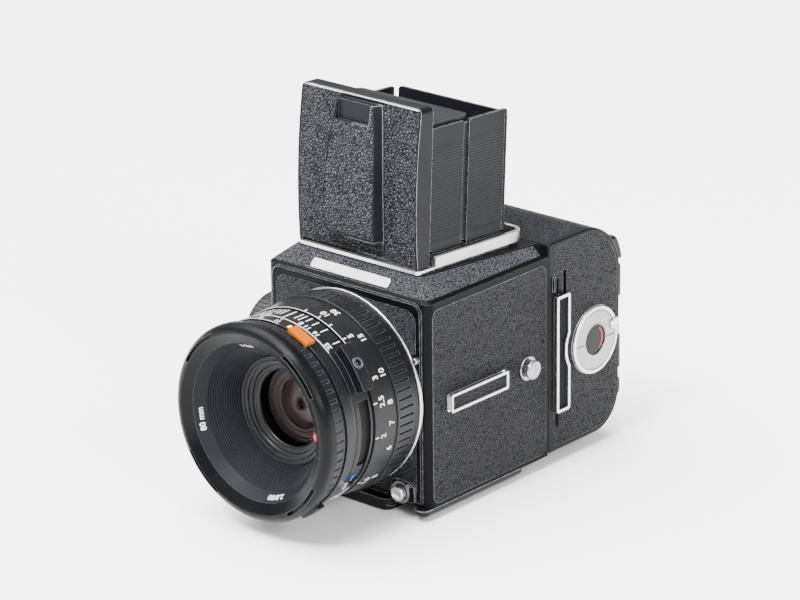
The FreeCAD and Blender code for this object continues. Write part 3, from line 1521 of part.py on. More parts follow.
def insert_frame():
    """Two end cheeks joined by bars and the pressure plate, with the film rollers."""
    x0 = -half + magazine_wall + 1.0
    x1 = half - plate_t + seat
    cheek = prism(magazine_points(magazine_wall + 0.8, gate_wall + 0.6), in_x, x1 - frame_t, x1)
    far = prism(magazine_points(magazine_wall + 0.8, gate_wall + 0.6), in_x, x0, x0 + frame_t)
    y0 = y_mag + gate_wall + 0.6
    press = box(x0 + 0.5, x1 - 0.5, y0 + 1.0, y0 + 2.4, z_axis - 29, z_axis + 29)
    parts = [cheek, far, press]
    for z in (z_axis - 33.5, z_axis + 33.5):
        parts.append(cyl(2.2, V(x0 + 0.5, y0 + 3.0, z), V(x1 - 0.5, y0 + 3.0, z)))
    back = box(x0 + 0.5, x1 - 0.5, y_mag_back - magazine_wall - 2.2, y_mag_back - magazine_wall - 1.0,
               z_axis - 16, z_axis + 12)
    parts.append(back)
    frame = fuse(parts)
    y = y_mag + key_from_front
    z = z_bot + key_height
    frame = frame.cut(cyl(key_disc_r + 2.0 + seat, V(x1 - 1.0 - seat, y, z), V(x1 + 1, y, z)))
    for sy, sz in spool_places():
        frame = frame.cut(cyl(2.0 + running, V(x0 - 1, sy, sz), V(x1 + 1, sy, sz)))
    return frame


def spool_places():
    return ((y_mag + supply_spool_y, z_bot + supply_spool_z), (y_mag + take_up_y, z_bot + take_up_z))


def spool(which, film_r):
    y, z = spool_places()[which]
    mid = (-half + magazine_wall + 1.0 + half - plate_t + seat) / 2
    a = mid - spool_length / 2
    b = mid + spool_length / 2
    t = spool_flange_t
    x0 = -half + magazine_wall + 1.2
    x1 = half - plate_t + seat - 0.1
    return turned_x([(x0, 0, 0), (x0, 2.0, 0), (a, 2.0, 0), (a, spool_flange_r, 0), (a + t, spool_flange_r, 0),
                     (a + t, film_r, 0), (b - t, film_r, 0), (b - t, spool_flange_r, 0),
                     (b, spool_flange_r, 0), (b, 2.0, 0), (x1, 2.0, 0), (x1, 0, 0)], y, z)


def mag_crank_y():
    return y_mag + mag_crank_from_front


def mag_crank_z():
    return z_bot + mag_crank_height


def magazine_crank():
    """Small winding crank with its folding arm laid flat."""
    y, z = mag_crank_y(), mag_crank_z()
    x0 = -half - running
    x1 = x0 - mag_crank_t
    disc = turned_x([(-half + magazine_wall - 0.2, 0, 0), (-half + magazine_wall - 0.2, 2.0, 0), (x0, 2.0, 0),
                     (x0, mag_crank_r, 0), (x1, mag_crank_r, 0.6), (x1, 0, 0)], y, z)
    w = 3.0
    arm = prism([(y - mag_crank_r + 1.2, z - w, w - 0.2), (y + mag_crank_r + 3.0, z - w, w - 0.2),
                 (y + mag_crank_r + 3.0, z + w, w - 0.2), (y - mag_crank_r + 1.2, z + w, w - 0.2)],
                in_x, x1 - mag_crank_arm_t, x1 + 0.1)
    knob = cyl(2.4, V(x1 - mag_crank_arm_t + 0.1, y + mag_crank_r, z),
               V(x1 - mag_crank_arm_t - 2.0, y + mag_crank_r, z))
    return disc.fuse(arm).fuse(knob).removeSplitter()


# Fixed pieces of the body
add("body_shell", body_shell())
add("front_plate", front_plate())
add("front_leather", front_leather())
right_leather = side_leather(-1, 0.0, 0.0).cut(
    cyl(crank_spindle_r + 0.5, V(-half - 2, crank_y(), crank_z()), V(-half + 2, crank_y(), crank_z())))
add("side_leathers", Part.makeCompound([side_leather(1, 0.0, 0.0), right_leather]))
add("shoulder_leather", shoulder_skin(0.0))
add("base_plate", base_plate())
add("accessory_rail", accessory_rail())
add("strap_lugs", Part.makeCompound([strap_lug(), mirrored(strap_lug())]))
add("mirror_box", mirror_box())
add("focusing_screen", focusing_screen())
add("lens_mount_ring", lens_mount_ring())
add("crank_base", crank_base())

# Mirror and flaps
add("reflex_mirror", mirror())
add("rear_flap_upper", flap(1))
add("rear_flap_lower", flap(-1))

# Lens
add("lens_flange", lens_flange())
add("focus_ring", focus_ring())
add("focus_grip", focus_grip())
add("lens_barrel", lens_barrel())
add("flash_socket", flash_socket())
add("stop_down_lever", stop_down_lever())
add("aperture_ring", aperture_ring())
add("coupling_tab", coupling_tab())
add("shutter_ring", shutter_ring())
add("front_bezel", front_bezel())
add("baffle_cone", baffle_cone())
add("front_glass", front_glass())
add("shutter_case", shutter_case())
add("rear_glass", rear_glass())
for i in range(blade_count):
    add("iris_blade_%d" % (i + 1), iris_blade(i))

# Controls
add("release_button", release_button())
add("release_lock", release_lock())
add("lens_catch", lens_catch())
add("winding_knob", winding_knob())
add("crank_arm", crank_arm())

# Hood
add("finder_base", leaned(finder_base()))
add("finder_rail", leaned(finder_rail()))
add("hood_lid", leaned(hood_lid()))
for side, hand in ((1, "left"), (-1, "right")):
    for rear, end in ((False, "front"), (True, "rear")):
        add("hood_%s_%s" % (hand, end), leaned(hood_side(side, rear)))
add("hood_back", leaned(hood_back_panel()))
add("magnifier_arm", leaned(magnifier_arm()))
add("magnifier_lens", leaned(magnifier_lens()))

# Magazine
add("magazine_shell", magazine_shell())
add("slide_pocket", slide_pocket())
add("magazine_latch", magazine_latch())
add("dark_slide", dark_slide())
add("insert_plate", insert_plate())
add("insert_frame", insert_frame())
add("supply_spool", spool(0, spool_film_r))
add("take_up_spool", spool(1, spool_core_r))
add("key_disc", key_disc())
add("key_tab", key_tab())
add("magazine_crank", magazine_crank())

for name, shape in nodes.items():
    shape.exportStep("parts/%s.step" % name)
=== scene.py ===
import math

import bpy
from mathutils import Matrix, Vector


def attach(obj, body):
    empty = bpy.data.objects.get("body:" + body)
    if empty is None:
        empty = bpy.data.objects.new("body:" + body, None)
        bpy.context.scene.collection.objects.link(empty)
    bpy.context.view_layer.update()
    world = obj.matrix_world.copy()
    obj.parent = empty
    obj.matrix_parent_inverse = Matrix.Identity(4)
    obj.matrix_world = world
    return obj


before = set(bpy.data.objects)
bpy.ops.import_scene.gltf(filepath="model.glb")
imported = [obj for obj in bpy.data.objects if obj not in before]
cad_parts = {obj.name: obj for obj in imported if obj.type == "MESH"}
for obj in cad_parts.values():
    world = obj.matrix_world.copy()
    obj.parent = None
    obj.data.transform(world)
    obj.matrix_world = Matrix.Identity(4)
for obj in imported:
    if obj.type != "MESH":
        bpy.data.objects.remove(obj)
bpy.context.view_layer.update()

MM = 0.001

# Places on the model
AXIS_Z = 47.0
HALF = 41.0
HOOD_Y = -23.0
HOOD_Z = 96.0
LEAN = math.radians(3.0)
LID_HALF = 30.0
LID_LOW = 1.4
LID_TOP = 64.4
LID_BOW = 1.9
LID_PLATE_HALF = 8.3
LID_PLATE_LOW = 54.6
BASE_DARK_Z = 97.3
RAIL_Y = (-19.6, 14.4)
RAIL_Z = (42.4, 49.8)
HANDLE_Y = (44.2, 52.4)
HANDLE_Z = (22.5, 71.2)
KEY_Y = 70.3
KEY_Z = 45.8
KEY_COLLAR_R = 14.1
CRANK_Y = -11.0
CRANK_Z = 50.0
CRANK_RIM_R = 15.2
CRANK_RIM_X = (-58.9, -57.4)
MAG_Y = (41.8, 86.8)
MAG_Z = (4.5, 92.5)
MAG_CORNER = 22.0
MAG_BORDER = 2.8
SOCKETS = ((0.0, 4.05, 1.59), (16.0, 2.65, 1.27))  # y, radius, thread pitch
WALL_RIBS = (10.5, 47.5)
WALL_RIB_PITCH = 1.15


# Shader building
class Net:
    """A principled material with a few helpers for procedural detail.

    A finish is a dictionary of tone, rough, metal, normal and shine; finishes
    are laid beside each other by masks and then applied.
    """

    def __init__(self, name):
        self.material = bpy.data.materials.new(name)
        self.material.use_nodes = True
        self.tree = self.material.node_tree
        self.tree.nodes.clear()
        self.out = self.tree.nodes.new("ShaderNodeOutputMaterial")
        self.surface = self.tree.nodes.new("ShaderNodeBsdfPrincipled")
        self.tree.links.new(self.surface.outputs[0], self.out.inputs[0])
        self.place = self.tree.nodes.new("ShaderNodeTexCoord").outputs["Object"]
        parts = self.tree.nodes.new("ShaderNodeSeparateXYZ")
        self.put(parts.inputs[0], self.place)
        self.x, self.y, self.z = parts.outputs

    def put(self, socket, value):
        """Links an output to a socket, or sets the socket's own value."""
        if isinstance(value, bpy.types.NodeSocket):
            self.tree.links.new(value, socket)
        else:
            socket.default_value = value

    def node(self, kind, inputs, out=0, **settings):
        """One shader node with its inputs put in; gives one of its outputs."""
        made = self.tree.nodes.new("ShaderNode" + kind)
        for key, value in settings.items():
            setattr(made, key, value)
        for key, value in inputs.items():
            self.put(made.inputs[key], value)
        return made.outputs[out]

    def set(self, **values):
        """Inputs of the principled surface."""
        for key, value in values.items():
            self.put(self.surface.inputs[key.replace("_", " ")], value)

    def math(self, kind, a, b=0.0):
        return self.node("Math", {0: a, 1: b}, operation=kind)

    def product(self, *factors):
        out = factors[0]
        for factor in factors[1:]:
            out = self.math("MULTIPLY", out, factor)
        return out

    def noise(self, scale, detail=3.0, rough=0.5, place=None):
        return self.node("TexNoise", {"Vector": place or self.place, "Scale": scale, "Detail": detail,
                                      "Roughness": rough}, out="Fac")

    def cells(self, scale):
        """Distance from the creases between rounded cells."""
        return self.node("TexVoronoi", {"Vector": self.place, "Scale": scale}, out="Distance",
                         feature="DISTANCE_TO_EDGE")

    def stretch(self, size):
        return self.node("Mapping", {"Vector": self.place, "Scale": size})

    def span(self, value, low, high, to_low=0.0, to_high=1.0):
        return self.node("MapRange", {"Value": value, "From Min": low, "From Max": high,
                                      "To Min": to_low, "To Max": to_high})

    def within(self, value, low, high, soft=0.04):
        """1 where a length lies between two sizes in millimetres, 0 outside."""
        rise = self.span(value, (low - soft) * MM, (low + soft) * MM)
        fall = self.span(value, (high - soft) * MM, (high + soft) * MM, 1.0, 0.0)
        return self.math("MULTIPLY", rise, fall)

    def away(self, a, b, ca, cb):
        """Distance from an axis through (ca, cb) in the plane of two coordinates."""
        da = self.math("SUBTRACT", a, ca * MM)
        db = self.math("SUBTRACT", b, cb * MM)
        return self.math("SQRT", self.math("ADD", self.math("MULTIPLY", da, da),
                                           self.math("MULTIPLY", db, db)))

    def radius(self):
        """Distance from the lens axis."""
        return self.away(self.x, self.z, 0.0, AXIS_Z)

    def hood_up(self):
        """Height over the hood's seat, in the hood's own lean."""
        dy = self.math("SUBTRACT", self.y, HOOD_Y * MM)
        dz = self.math("SUBTRACT", self.z, HOOD_Z * MM)
        return self.math("ADD", self.math("MULTIPLY", dz, math.cos(LEAN)),
                         self.math("MULTIPLY", dy, math.sin(LEAN)))

    def hood_deep(self):
        """Depth behind the lid's front edge, in the hood's own lean."""
        dy = self.math("SUBTRACT", self.y, HOOD_Y * MM)
        dz = self.math("SUBTRACT", self.z, HOOD_Z * MM)
        return self.math("SUBTRACT", self.math("MULTIPLY", dy, math.cos(LEAN)),
                         self.math("MULTIPLY", dz, math.sin(LEAN)))

    def mix(self, fac, a, b, kind="RGBA"):
        made = self.tree.nodes.new("ShaderNodeMix")
        made.data_type = kind
        first = {"FLOAT": 2, "VECTOR": 4, "RGBA": 6}[kind]
        self.put(made.inputs[0], fac)
        self.put(made.inputs[first], a)
        self.put(made.inputs[first + 1], b)
        return made.outputs[{"FLOAT": 0, "VECTOR": 1, "RGBA": 2}[kind]]

    def bump(self, height, distance, normal=None):
        ins = {"Height": height, "Distance": distance, "Strength": 1.0}
        if normal is not None:
            ins["Normal"] = normal
        return self.node("Bump", ins)

    def rounding(self, radius):
        """Normal of edges that look rounded."""
        return self.node("Bevel", {"Radius": radius * MM}, samples=4)

    def edges(self, rounded, low=0.02, high=0.25):
        """1 along edges, 0 on open faces."""
        face = self.node("NewGeometry", {}, out="Normal")
        dot = self.node("VectorMath", {0: rounded, 1: face}, out="Value", operation="DOT_PRODUCT")
        return self.span(self.math("SUBTRACT", 1.0, dot), low, high)

    def beside(self, mask, inside, outside):
        """One finish where the mask is 1 and another where it is 0.

        The shine stays one number for the whole surface, that of its bare coat.
        """
        metal = outside["metal"]
        if inside["metal"] != metal:
            metal = self.mix(mask, metal, inside["metal"], "FLOAT")
        shines = [finish["shine"] for finish in (outside, inside) if finish["metal"] != 1.0]
        return {
            "tone": self.mix(mask, outside["tone"], inside["tone"]),
            "rough": self.mix(mask, outside["rough"], inside["rough"], "FLOAT"),
            "metal": metal,
            "shine": shines[0],
            "normal": self.mix(mask, outside["normal"], inside["normal"], "VECTOR"),
        }

    def apply(self, finish):
        self.set(Base_Color=finish["tone"], Roughness=finish["rough"], Metallic=finish["metal"],
                 Specular_IOR_Level=finish["shine"], Normal=finish["normal"])
        return self.material


def times(tone, k):
    """A tone made lighter or darker."""
    return [c * k for c in tone[:3]] + [1.0]


BLACK = (0.0030, 0.0033, 0.0042, 1.0)
SOOT = (0.0016, 0.0017, 0.0020, 1.0)
# Light tone laid along edges: partly rubbed wear, partly painted highlight.
EDGE = (0.16, 0.165, 0.18, 1.0)
SILVER = (0.62, 0.62, 0.635, 1.0)
# Leather tones by grain height: the creases painted dark as shade, the grain tops painted light as glints.
HIDE_CREASE_SHADE = (0.0006, 0.0007, 0.0009, 1.0)
HIDE_GRAIN_GLINT = (0.030, 0.031, 0.036, 1.0)
CLEAR = (0.98, 0.99, 0.98, 1.0)


# Finishes
def hide(net, pitch=0.95, depth=0.28, dark=HIDE_CREASE_SHADE, light=HIDE_GRAIN_GLINT, rough=0.42, edge=None):
    """Fine pebbled leather cloth: raised grains with tight creases between."""
    pebble = net.span(net.cells(1.0 / (pitch * MM)), 0.0, 0.3)
    fine = net.noise(1.9 / (pitch * MM), 2.0, 0.6)
    wander = net.noise(260.0)
    height = net.math("ADD", pebble, net.math("MULTIPLY", fine, 0.4))
    # Tone follows the grain's height, with a random wander: painted shade in the creases and painted
    # glints on the grain tops.
    fac = net.product(net.span(height, 0.35, 1.1), net.span(wander, 0.3, 0.7, 0.65, 1.0))
    tone = net.mix(fac, dark, light)
    # Edges take a lighter tone: painted highlight.
    if edge is not None:
        tone = net.mix(net.edges(net.rounding(0.3), 0.05, 0.35), tone, edge)
    return {"tone": tone, "rough": net.span(height, 0.2, 1.2, rough + 0.25, rough),
            "metal": 0.0, "shine": 0.1, "normal": net.bump(height, depth * MM)}


def enamel(net, tone=BLACK, edge=EDGE, rough=0.34, grain=0.012, radius=0.3, shine=0.16, low=0.02,
           high=0.28):
    """Satin black enamel, its edges a lighter line: partly rubbed wear, partly painted highlight."""
    rounded = net.rounding(radius)
    # Lighter edges, broken by noise: rubbed wear and painted highlight.
    worn_and_highlit = net.product(net.edges(rounded, low, high), net.span(net.noise(420.0), 0.15, 0.55))
    cloud = net.noise(70.0)
    base = net.mix(net.span(cloud, 0.3, 0.7, 0.0, 0.5), tone, times(tone, 1.7))
    return {"tone": net.mix(worn_and_highlit, base, edge),
            "rough": net.span(cloud, 0.3, 0.7, rough - 0.04, rough + 0.08),
            "metal": 0.0, "shine": shine,
            "normal": net.bump(net.noise(2600.0, 4.0, 0.6), grain * MM, rounded)}


def plated(net, tone=SILVER, rough=0.16, along=1, streak=0.03, radius=0.25, dusk=0.12):
    """Plated metal with a faint lapped grain along one axis."""
    rounded = net.rounding(radius)
    size = [900.0, 900.0, 900.0]
    size[along] = 40.0
    lapped = net.noise(1.0, 3.0, 0.6, net.stretch(size))
    cloud = net.span(net.noise(110.0), 0.35, 0.7)
    return {"tone": net.mix(cloud, tone, times(tone, 1.0 - dusk)),
            "rough": net.span(lapped, 0.3, 0.7, rough, rough + 0.12), "metal": 1.0, "shine": 0.5,
            "normal": net.bump(lapped, streak * MM, rounded)}


def turned(net, tone, rough, metal=0.0, pitch=0.22, depth=0.006, radius=0.25, edge=None, shine=0.17):
    """Lathe turned faces: fine rings round the lens axis."""
    rounded = net.rounding(radius)
    run = net.math("ADD", net.radius(), net.y)
    rings = net.math("SINE", net.math("MULTIPLY", run, 2 * math.pi / (pitch * MM)))
    cloud = net.noise(120.0)
    base = net.mix(net.span(cloud, 0.3, 0.7, 0.0, 0.4), tone, times(tone, 1.5 if metal < 0.5 else 0.9))
    # Edges take a lighter tone: painted highlight on rims, cells and steps.
    if edge is not None:
        base = net.mix(net.edges(rounded), base, edge)
    return {"tone": base, "rough": net.span(cloud, 0.3, 0.7, rough, rough + 0.1), "metal": metal,
            "shine": shine, "normal": net.bump(rings, depth * MM, rounded)}


def flat(net, tone, rough, metal=0.0, grain=0.01, scale=2500.0, shine=0.2):
    """One even tone with a fine grain."""
    fleck = net.noise(scale)
    return {"tone": tone, "rough": net.span(fleck, 0.3, 0.7, rough - 0.05, rough + 0.08), "metal": metal,
            "shine": shine, "normal": net.bump(fleck, grain * MM)}


# Looks made of one finish, or of several beside each other
def simple(name, finish, *args, **settings):
    """A material of one finish."""
    net = Net(name)
    return net.apply(finish(net, *args, **settings))


def glass(name, tint, index=1.12):
    """Clear glass. An index of 1.0 is a choice for the picture: it neither bends nor reflects."""
    net = Net(name)
    haze = net.span(net.noise(60.0, 2.0), 0.3, 0.7, 0.0, 0.004)
    net.set(Base_Color=CLEAR, Roughness=haze, IOR=index, Transmission_Weight=1.0, Specular_Tint=tint)
    return net.material


def lid_look():
    """Leather on the front face, a bare smooth plate at the top, satin rim all round."""
    net = Net("lid_leather_and_rim")
    up = net.hood_up()
    front = net.span(net.hood_deep(), 0.6 * MM, 0.7 * MM, 1.0, 0.0)
    field = net.product(front, net.within(net.x, -LID_HALF + 0.9, LID_HALF - 0.9),
                        net.within(up, 2.5, LID_TOP - 1.3))
    plate = net.product(net.within(net.x, -LID_PLATE_HALF, LID_PLATE_HALF),
                        net.within(up, LID_PLATE_LOW, LID_TOP))
    # The rim's edges take a near white tone: painted highlight along the lid's edges, partly rubbed wear.
    rim = enamel(net, times(BLACK, 0.6), (0.62, 0.63, 0.65, 1.0), 0.38, radius=0.3, shine=0.1, low=0.03,
                 high=0.3)
    # Faces of the raised form that turn sideways get smooth dark enamel instead of leather: painted shade
    # on the form's sides.
    facing = net.node("NewGeometry", {}, out="Normal")
    ahead = net.node("VectorMath", {0: facing, 1: (0.0, -1.0, 0.0)}, out="Value", operation="DOT_PRODUCT")
    cover = hide(net, 1.1, 0.5, light=times(HIDE_GRAIN_GLINT, 2.2))
    flank = enamel(net, times(BLACK, 1.2), EDGE, 0.5, shine=0.08)
    skin = net.beside(net.span(ahead, 0.5, 0.8), cover, flank)
    # Edges of the raised form: dark on its left half and light on its right half, painted shade and
    # painted highlight.
    line = net.product(net.edges(net.rounding(0.7), 0.03, 0.2), net.within(net.x, -14.5, 14.5))
    form_edge_shade_and_highlight = net.mix(net.span(net.x, -1.0 * MM, 1.0 * MM), SOOT, times(EDGE, 1.6))
    skin["tone"] = net.mix(line, skin["tone"], form_edge_shade_and_highlight)
    bare = enamel(net, times(BLACK, 1.2), EDGE, 0.42)
    face = net.beside(field, skin, rim)
    return net.apply(net.beside(plate, bare, face))


def base_look():
    """Finder base: bright front edge, black above."""
    net = Net("finder_base_bright_edge")
    low = net.span(net.z, BASE_DARK_Z * MM, (BASE_DARK_Z + 0.1) * MM, 1.0, 0.0)
    bright = plated(net, times(SILVER, 0.85), 0.22)
    return net.apply(net.beside(low, bright, enamel(net, SOOT, EDGE, 0.5, shine=0.05)))


def wall_look():
    """Folding hood walls: fine pressed ribs between smooth top and bottom bands."""
    net = Net("hood_wall_ribbed")
    up = net.hood_up()
    # Edges take a bright tone: painted highlight.
    finish = enamel(net, times(BLACK, 0.7), times(EDGE, 2.6), 0.4, radius=0.28, shine=0.1)
    wave = net.span(net.math("SINE", net.math("MULTIPLY", up, 2 * math.pi / (WALL_RIB_PITCH * MM))),
                    -0.5, 0.5)
    wave = net.product(wave, net.within(up, WALL_RIBS[0], WALL_RIBS[1], 0.1))
    finish["normal"] = net.bump(wave, 0.09 * MM, finish["normal"])
    # Ribs lighter along their crests: painted highlight.
    finish["tone"] = net.mix(net.math("MULTIPLY", wave, 0.6), finish["tone"], times(BLACK, 2.6))
    return net.apply(finish)


def rail_look():
    """Bright bordered rail with a black bed."""
    net = Net("rail_plated_black_bed")
    bed = net.product(net.within(net.y, RAIL_Y[0] + 1.0, RAIL_Y[1] - 1.0),
                      net.within(net.z, RAIL_Z[0] + 1.0, RAIL_Z[1] - 1.0),
                      net.within(net.x, HALF + 2.0, HALF + 2.4))
    inlay = hide(net, 0.8, 0.1, light=times(HIDE_GRAIN_GLINT, 0.6))
    return net.apply(net.beside(bed, inlay, plated(net, rough=0.14)))


def handle_look():
    """Dark slide: plated blade and frame, its recess black with fine ribs, each lighter along its crest as
    painted highlight.
    """
    net = Net("slide_plated_black_inlay")
    inlay = net.product(net.within(net.y, HANDLE_Y[0] + 1.1, HANDLE_Y[1] - 1.1),
                        net.within(net.z, HANDLE_Z[0] + 1.1, HANDLE_Z[1] - 1.1),
                        net.within(net.x, HALF + 1.0, HALF + 1.95))
    inside = flat(net, SOOT, 0.5, shine=0.05)
    lines = net.math("SINE", net.math("MULTIPLY", net.y, 2 * math.pi / (1.0 * MM)))
    inside["normal"] = net.bump(net.span(lines, -0.3, 0.3), 0.12 * MM, inside["normal"])
    # Ribs lighter along their crests: painted highlight.
    inside["tone"] = net.mix(net.span(lines, 0.1, 0.8), SOOT, times(BLACK, 2.0))
    ends = net.within(net.z, HANDLE_Z[0] - 0.1, HANDLE_Z[1] + 0.1)
    shown = net.beside(ends, plated(net, rough=0.14), flat(net, SOOT, 0.5, shine=0.05))
    return net.apply(net.beside(inlay, inside, shown))


def insert_look():
    """End plate of the film insert: leather field, satin border and plated collar."""
    net = Net("insert_leather_plated_collar")
    far = net.away(net.y, net.z, KEY_Y, KEY_Z)
    collar = net.span(far, (KEY_COLLAR_R - 0.05) * MM, (KEY_COLLAR_R + 0.05) * MM, 1.0, 0.0)
    outside = net.span(net.x, (HALF + 0.1) * MM, (HALF + 0.14) * MM)
    proud = net.math("MULTIPLY", collar, net.span(net.x, (HALF - 0.1) * MM, (HALF + 0.2) * MM))
    cover = net.beside(outside, hide(net), enamel(net, shine=0.1))
    return net.apply(net.beside(proud, plated(net, rough=0.18), cover))


def magazine_look():
    """Magazine housing: leather on the top, back and right hand side inside satin borders."""
    net = Net("magazine_leather_and_border")
    # Border edges take a light tone: painted highlight, partly rubbed wear.
    rim = enamel(net, times(BLACK, 0.7), times(EDGE, 2.0), 0.36, radius=0.3, shine=0.08)
    over = net.product(net.within(net.x, -HALF + 3.0, HALF - 3.0), net.within(net.y, MAG_Y[0] + 2.2, 99.0),
                       net.span(net.z, 9.0 * MM, 9.1 * MM))
    y = MAG_Y[1] - MAG_CORNER
    z = MAG_Z[1] - MAG_CORNER
    far = net.away(net.y, net.z, y, z)
    corner = net.math("MAXIMUM", net.span(net.z, z * MM, (z + 0.1) * MM, 1.0, 0.0),
                      net.span(net.y, y * MM, (y + 0.1) * MM, 1.0, 0.0))
    reach = MAG_CORNER - MAG_BORDER
    corner = net.math("MAXIMUM", corner, net.span(far, reach * MM, (reach + 0.1) * MM, 1.0, 0.0))
    side = net.product(net.span(net.x, (-HALF + 0.02) * MM, (-HALF + 0.06) * MM, 1.0, 0.0),
                       net.within(net.y, MAG_Y[0] + 4.0, MAG_Y[1] - MAG_BORDER),
                       net.within(net.z, MAG_Z[0] + MAG_BORDER, MAG_Z[1] - MAG_BORDER), corner)
    field = net.math("MAXIMUM", over, side)
    return net.apply(net.beside(field, hide(net), rim))


def foot_look():
    """Base plate, with bright threads in both tripod sockets."""
    net = Net("foot_enamel_threaded_sockets")
    finish = enamel(net, times(BLACK, 1.3), (0.5, 0.51, 0.53, 1.0), 0.34, radius=0.5)
    for y, r, pitch in SOCKETS:
        bore = net.span(net.away(net.x, net.y, 0.0, y), (r + 0.1) * MM, (r + 0.2) * MM, 1.0, 0.0)
        thread = plated(net, times(SILVER, 0.7), 0.3)
        wave = net.math("SINE", net.math("MULTIPLY", net.z, 2 * math.pi / (pitch * MM)))
        thread["normal"] = net.bump(wave, 0.25 * MM, thread["normal"])
        finish = net.beside(bore, thread, finish)
    return net.apply(finish)


def barrel_look(name, bottom):
    """Black lens ring whose slots are flat black below a radius: painted shade in the slots."""
    net = Net(name)
    skin = turned(net, times(BLACK, 0.8), 0.3, edge=(0.16, 0.165, 0.175, 1.0), radius=0.2, shine=0.2)
    # Slot floors below the radius are flat black: painted shade in the slots.
    deep = net.span(net.radius(), (bottom - 0.1) * MM, bottom * MM, 1.0, 0.0)
    return net.apply(net.beside(deep, flat(net, SOOT, 0.7, shine=0.05), skin))


def crank_look():
    """Knob enamel with a bright knurled rim line."""
    net = Net("crank_enamel_bright_rim")
    far = net.away(net.y, net.z, CRANK_Y, CRANK_Z)
    rim = net.product(net.span(far, CRANK_RIM_R * MM, (CRANK_RIM_R + 0.1) * MM),
                      net.within(net.x, CRANK_RIM_X[0], CRANK_RIM_X[1]))
    return net.apply(net.beside(rim, plated(net, rough=0.2), enamel(net, times(BLACK, 1.3), radius=0.35)))


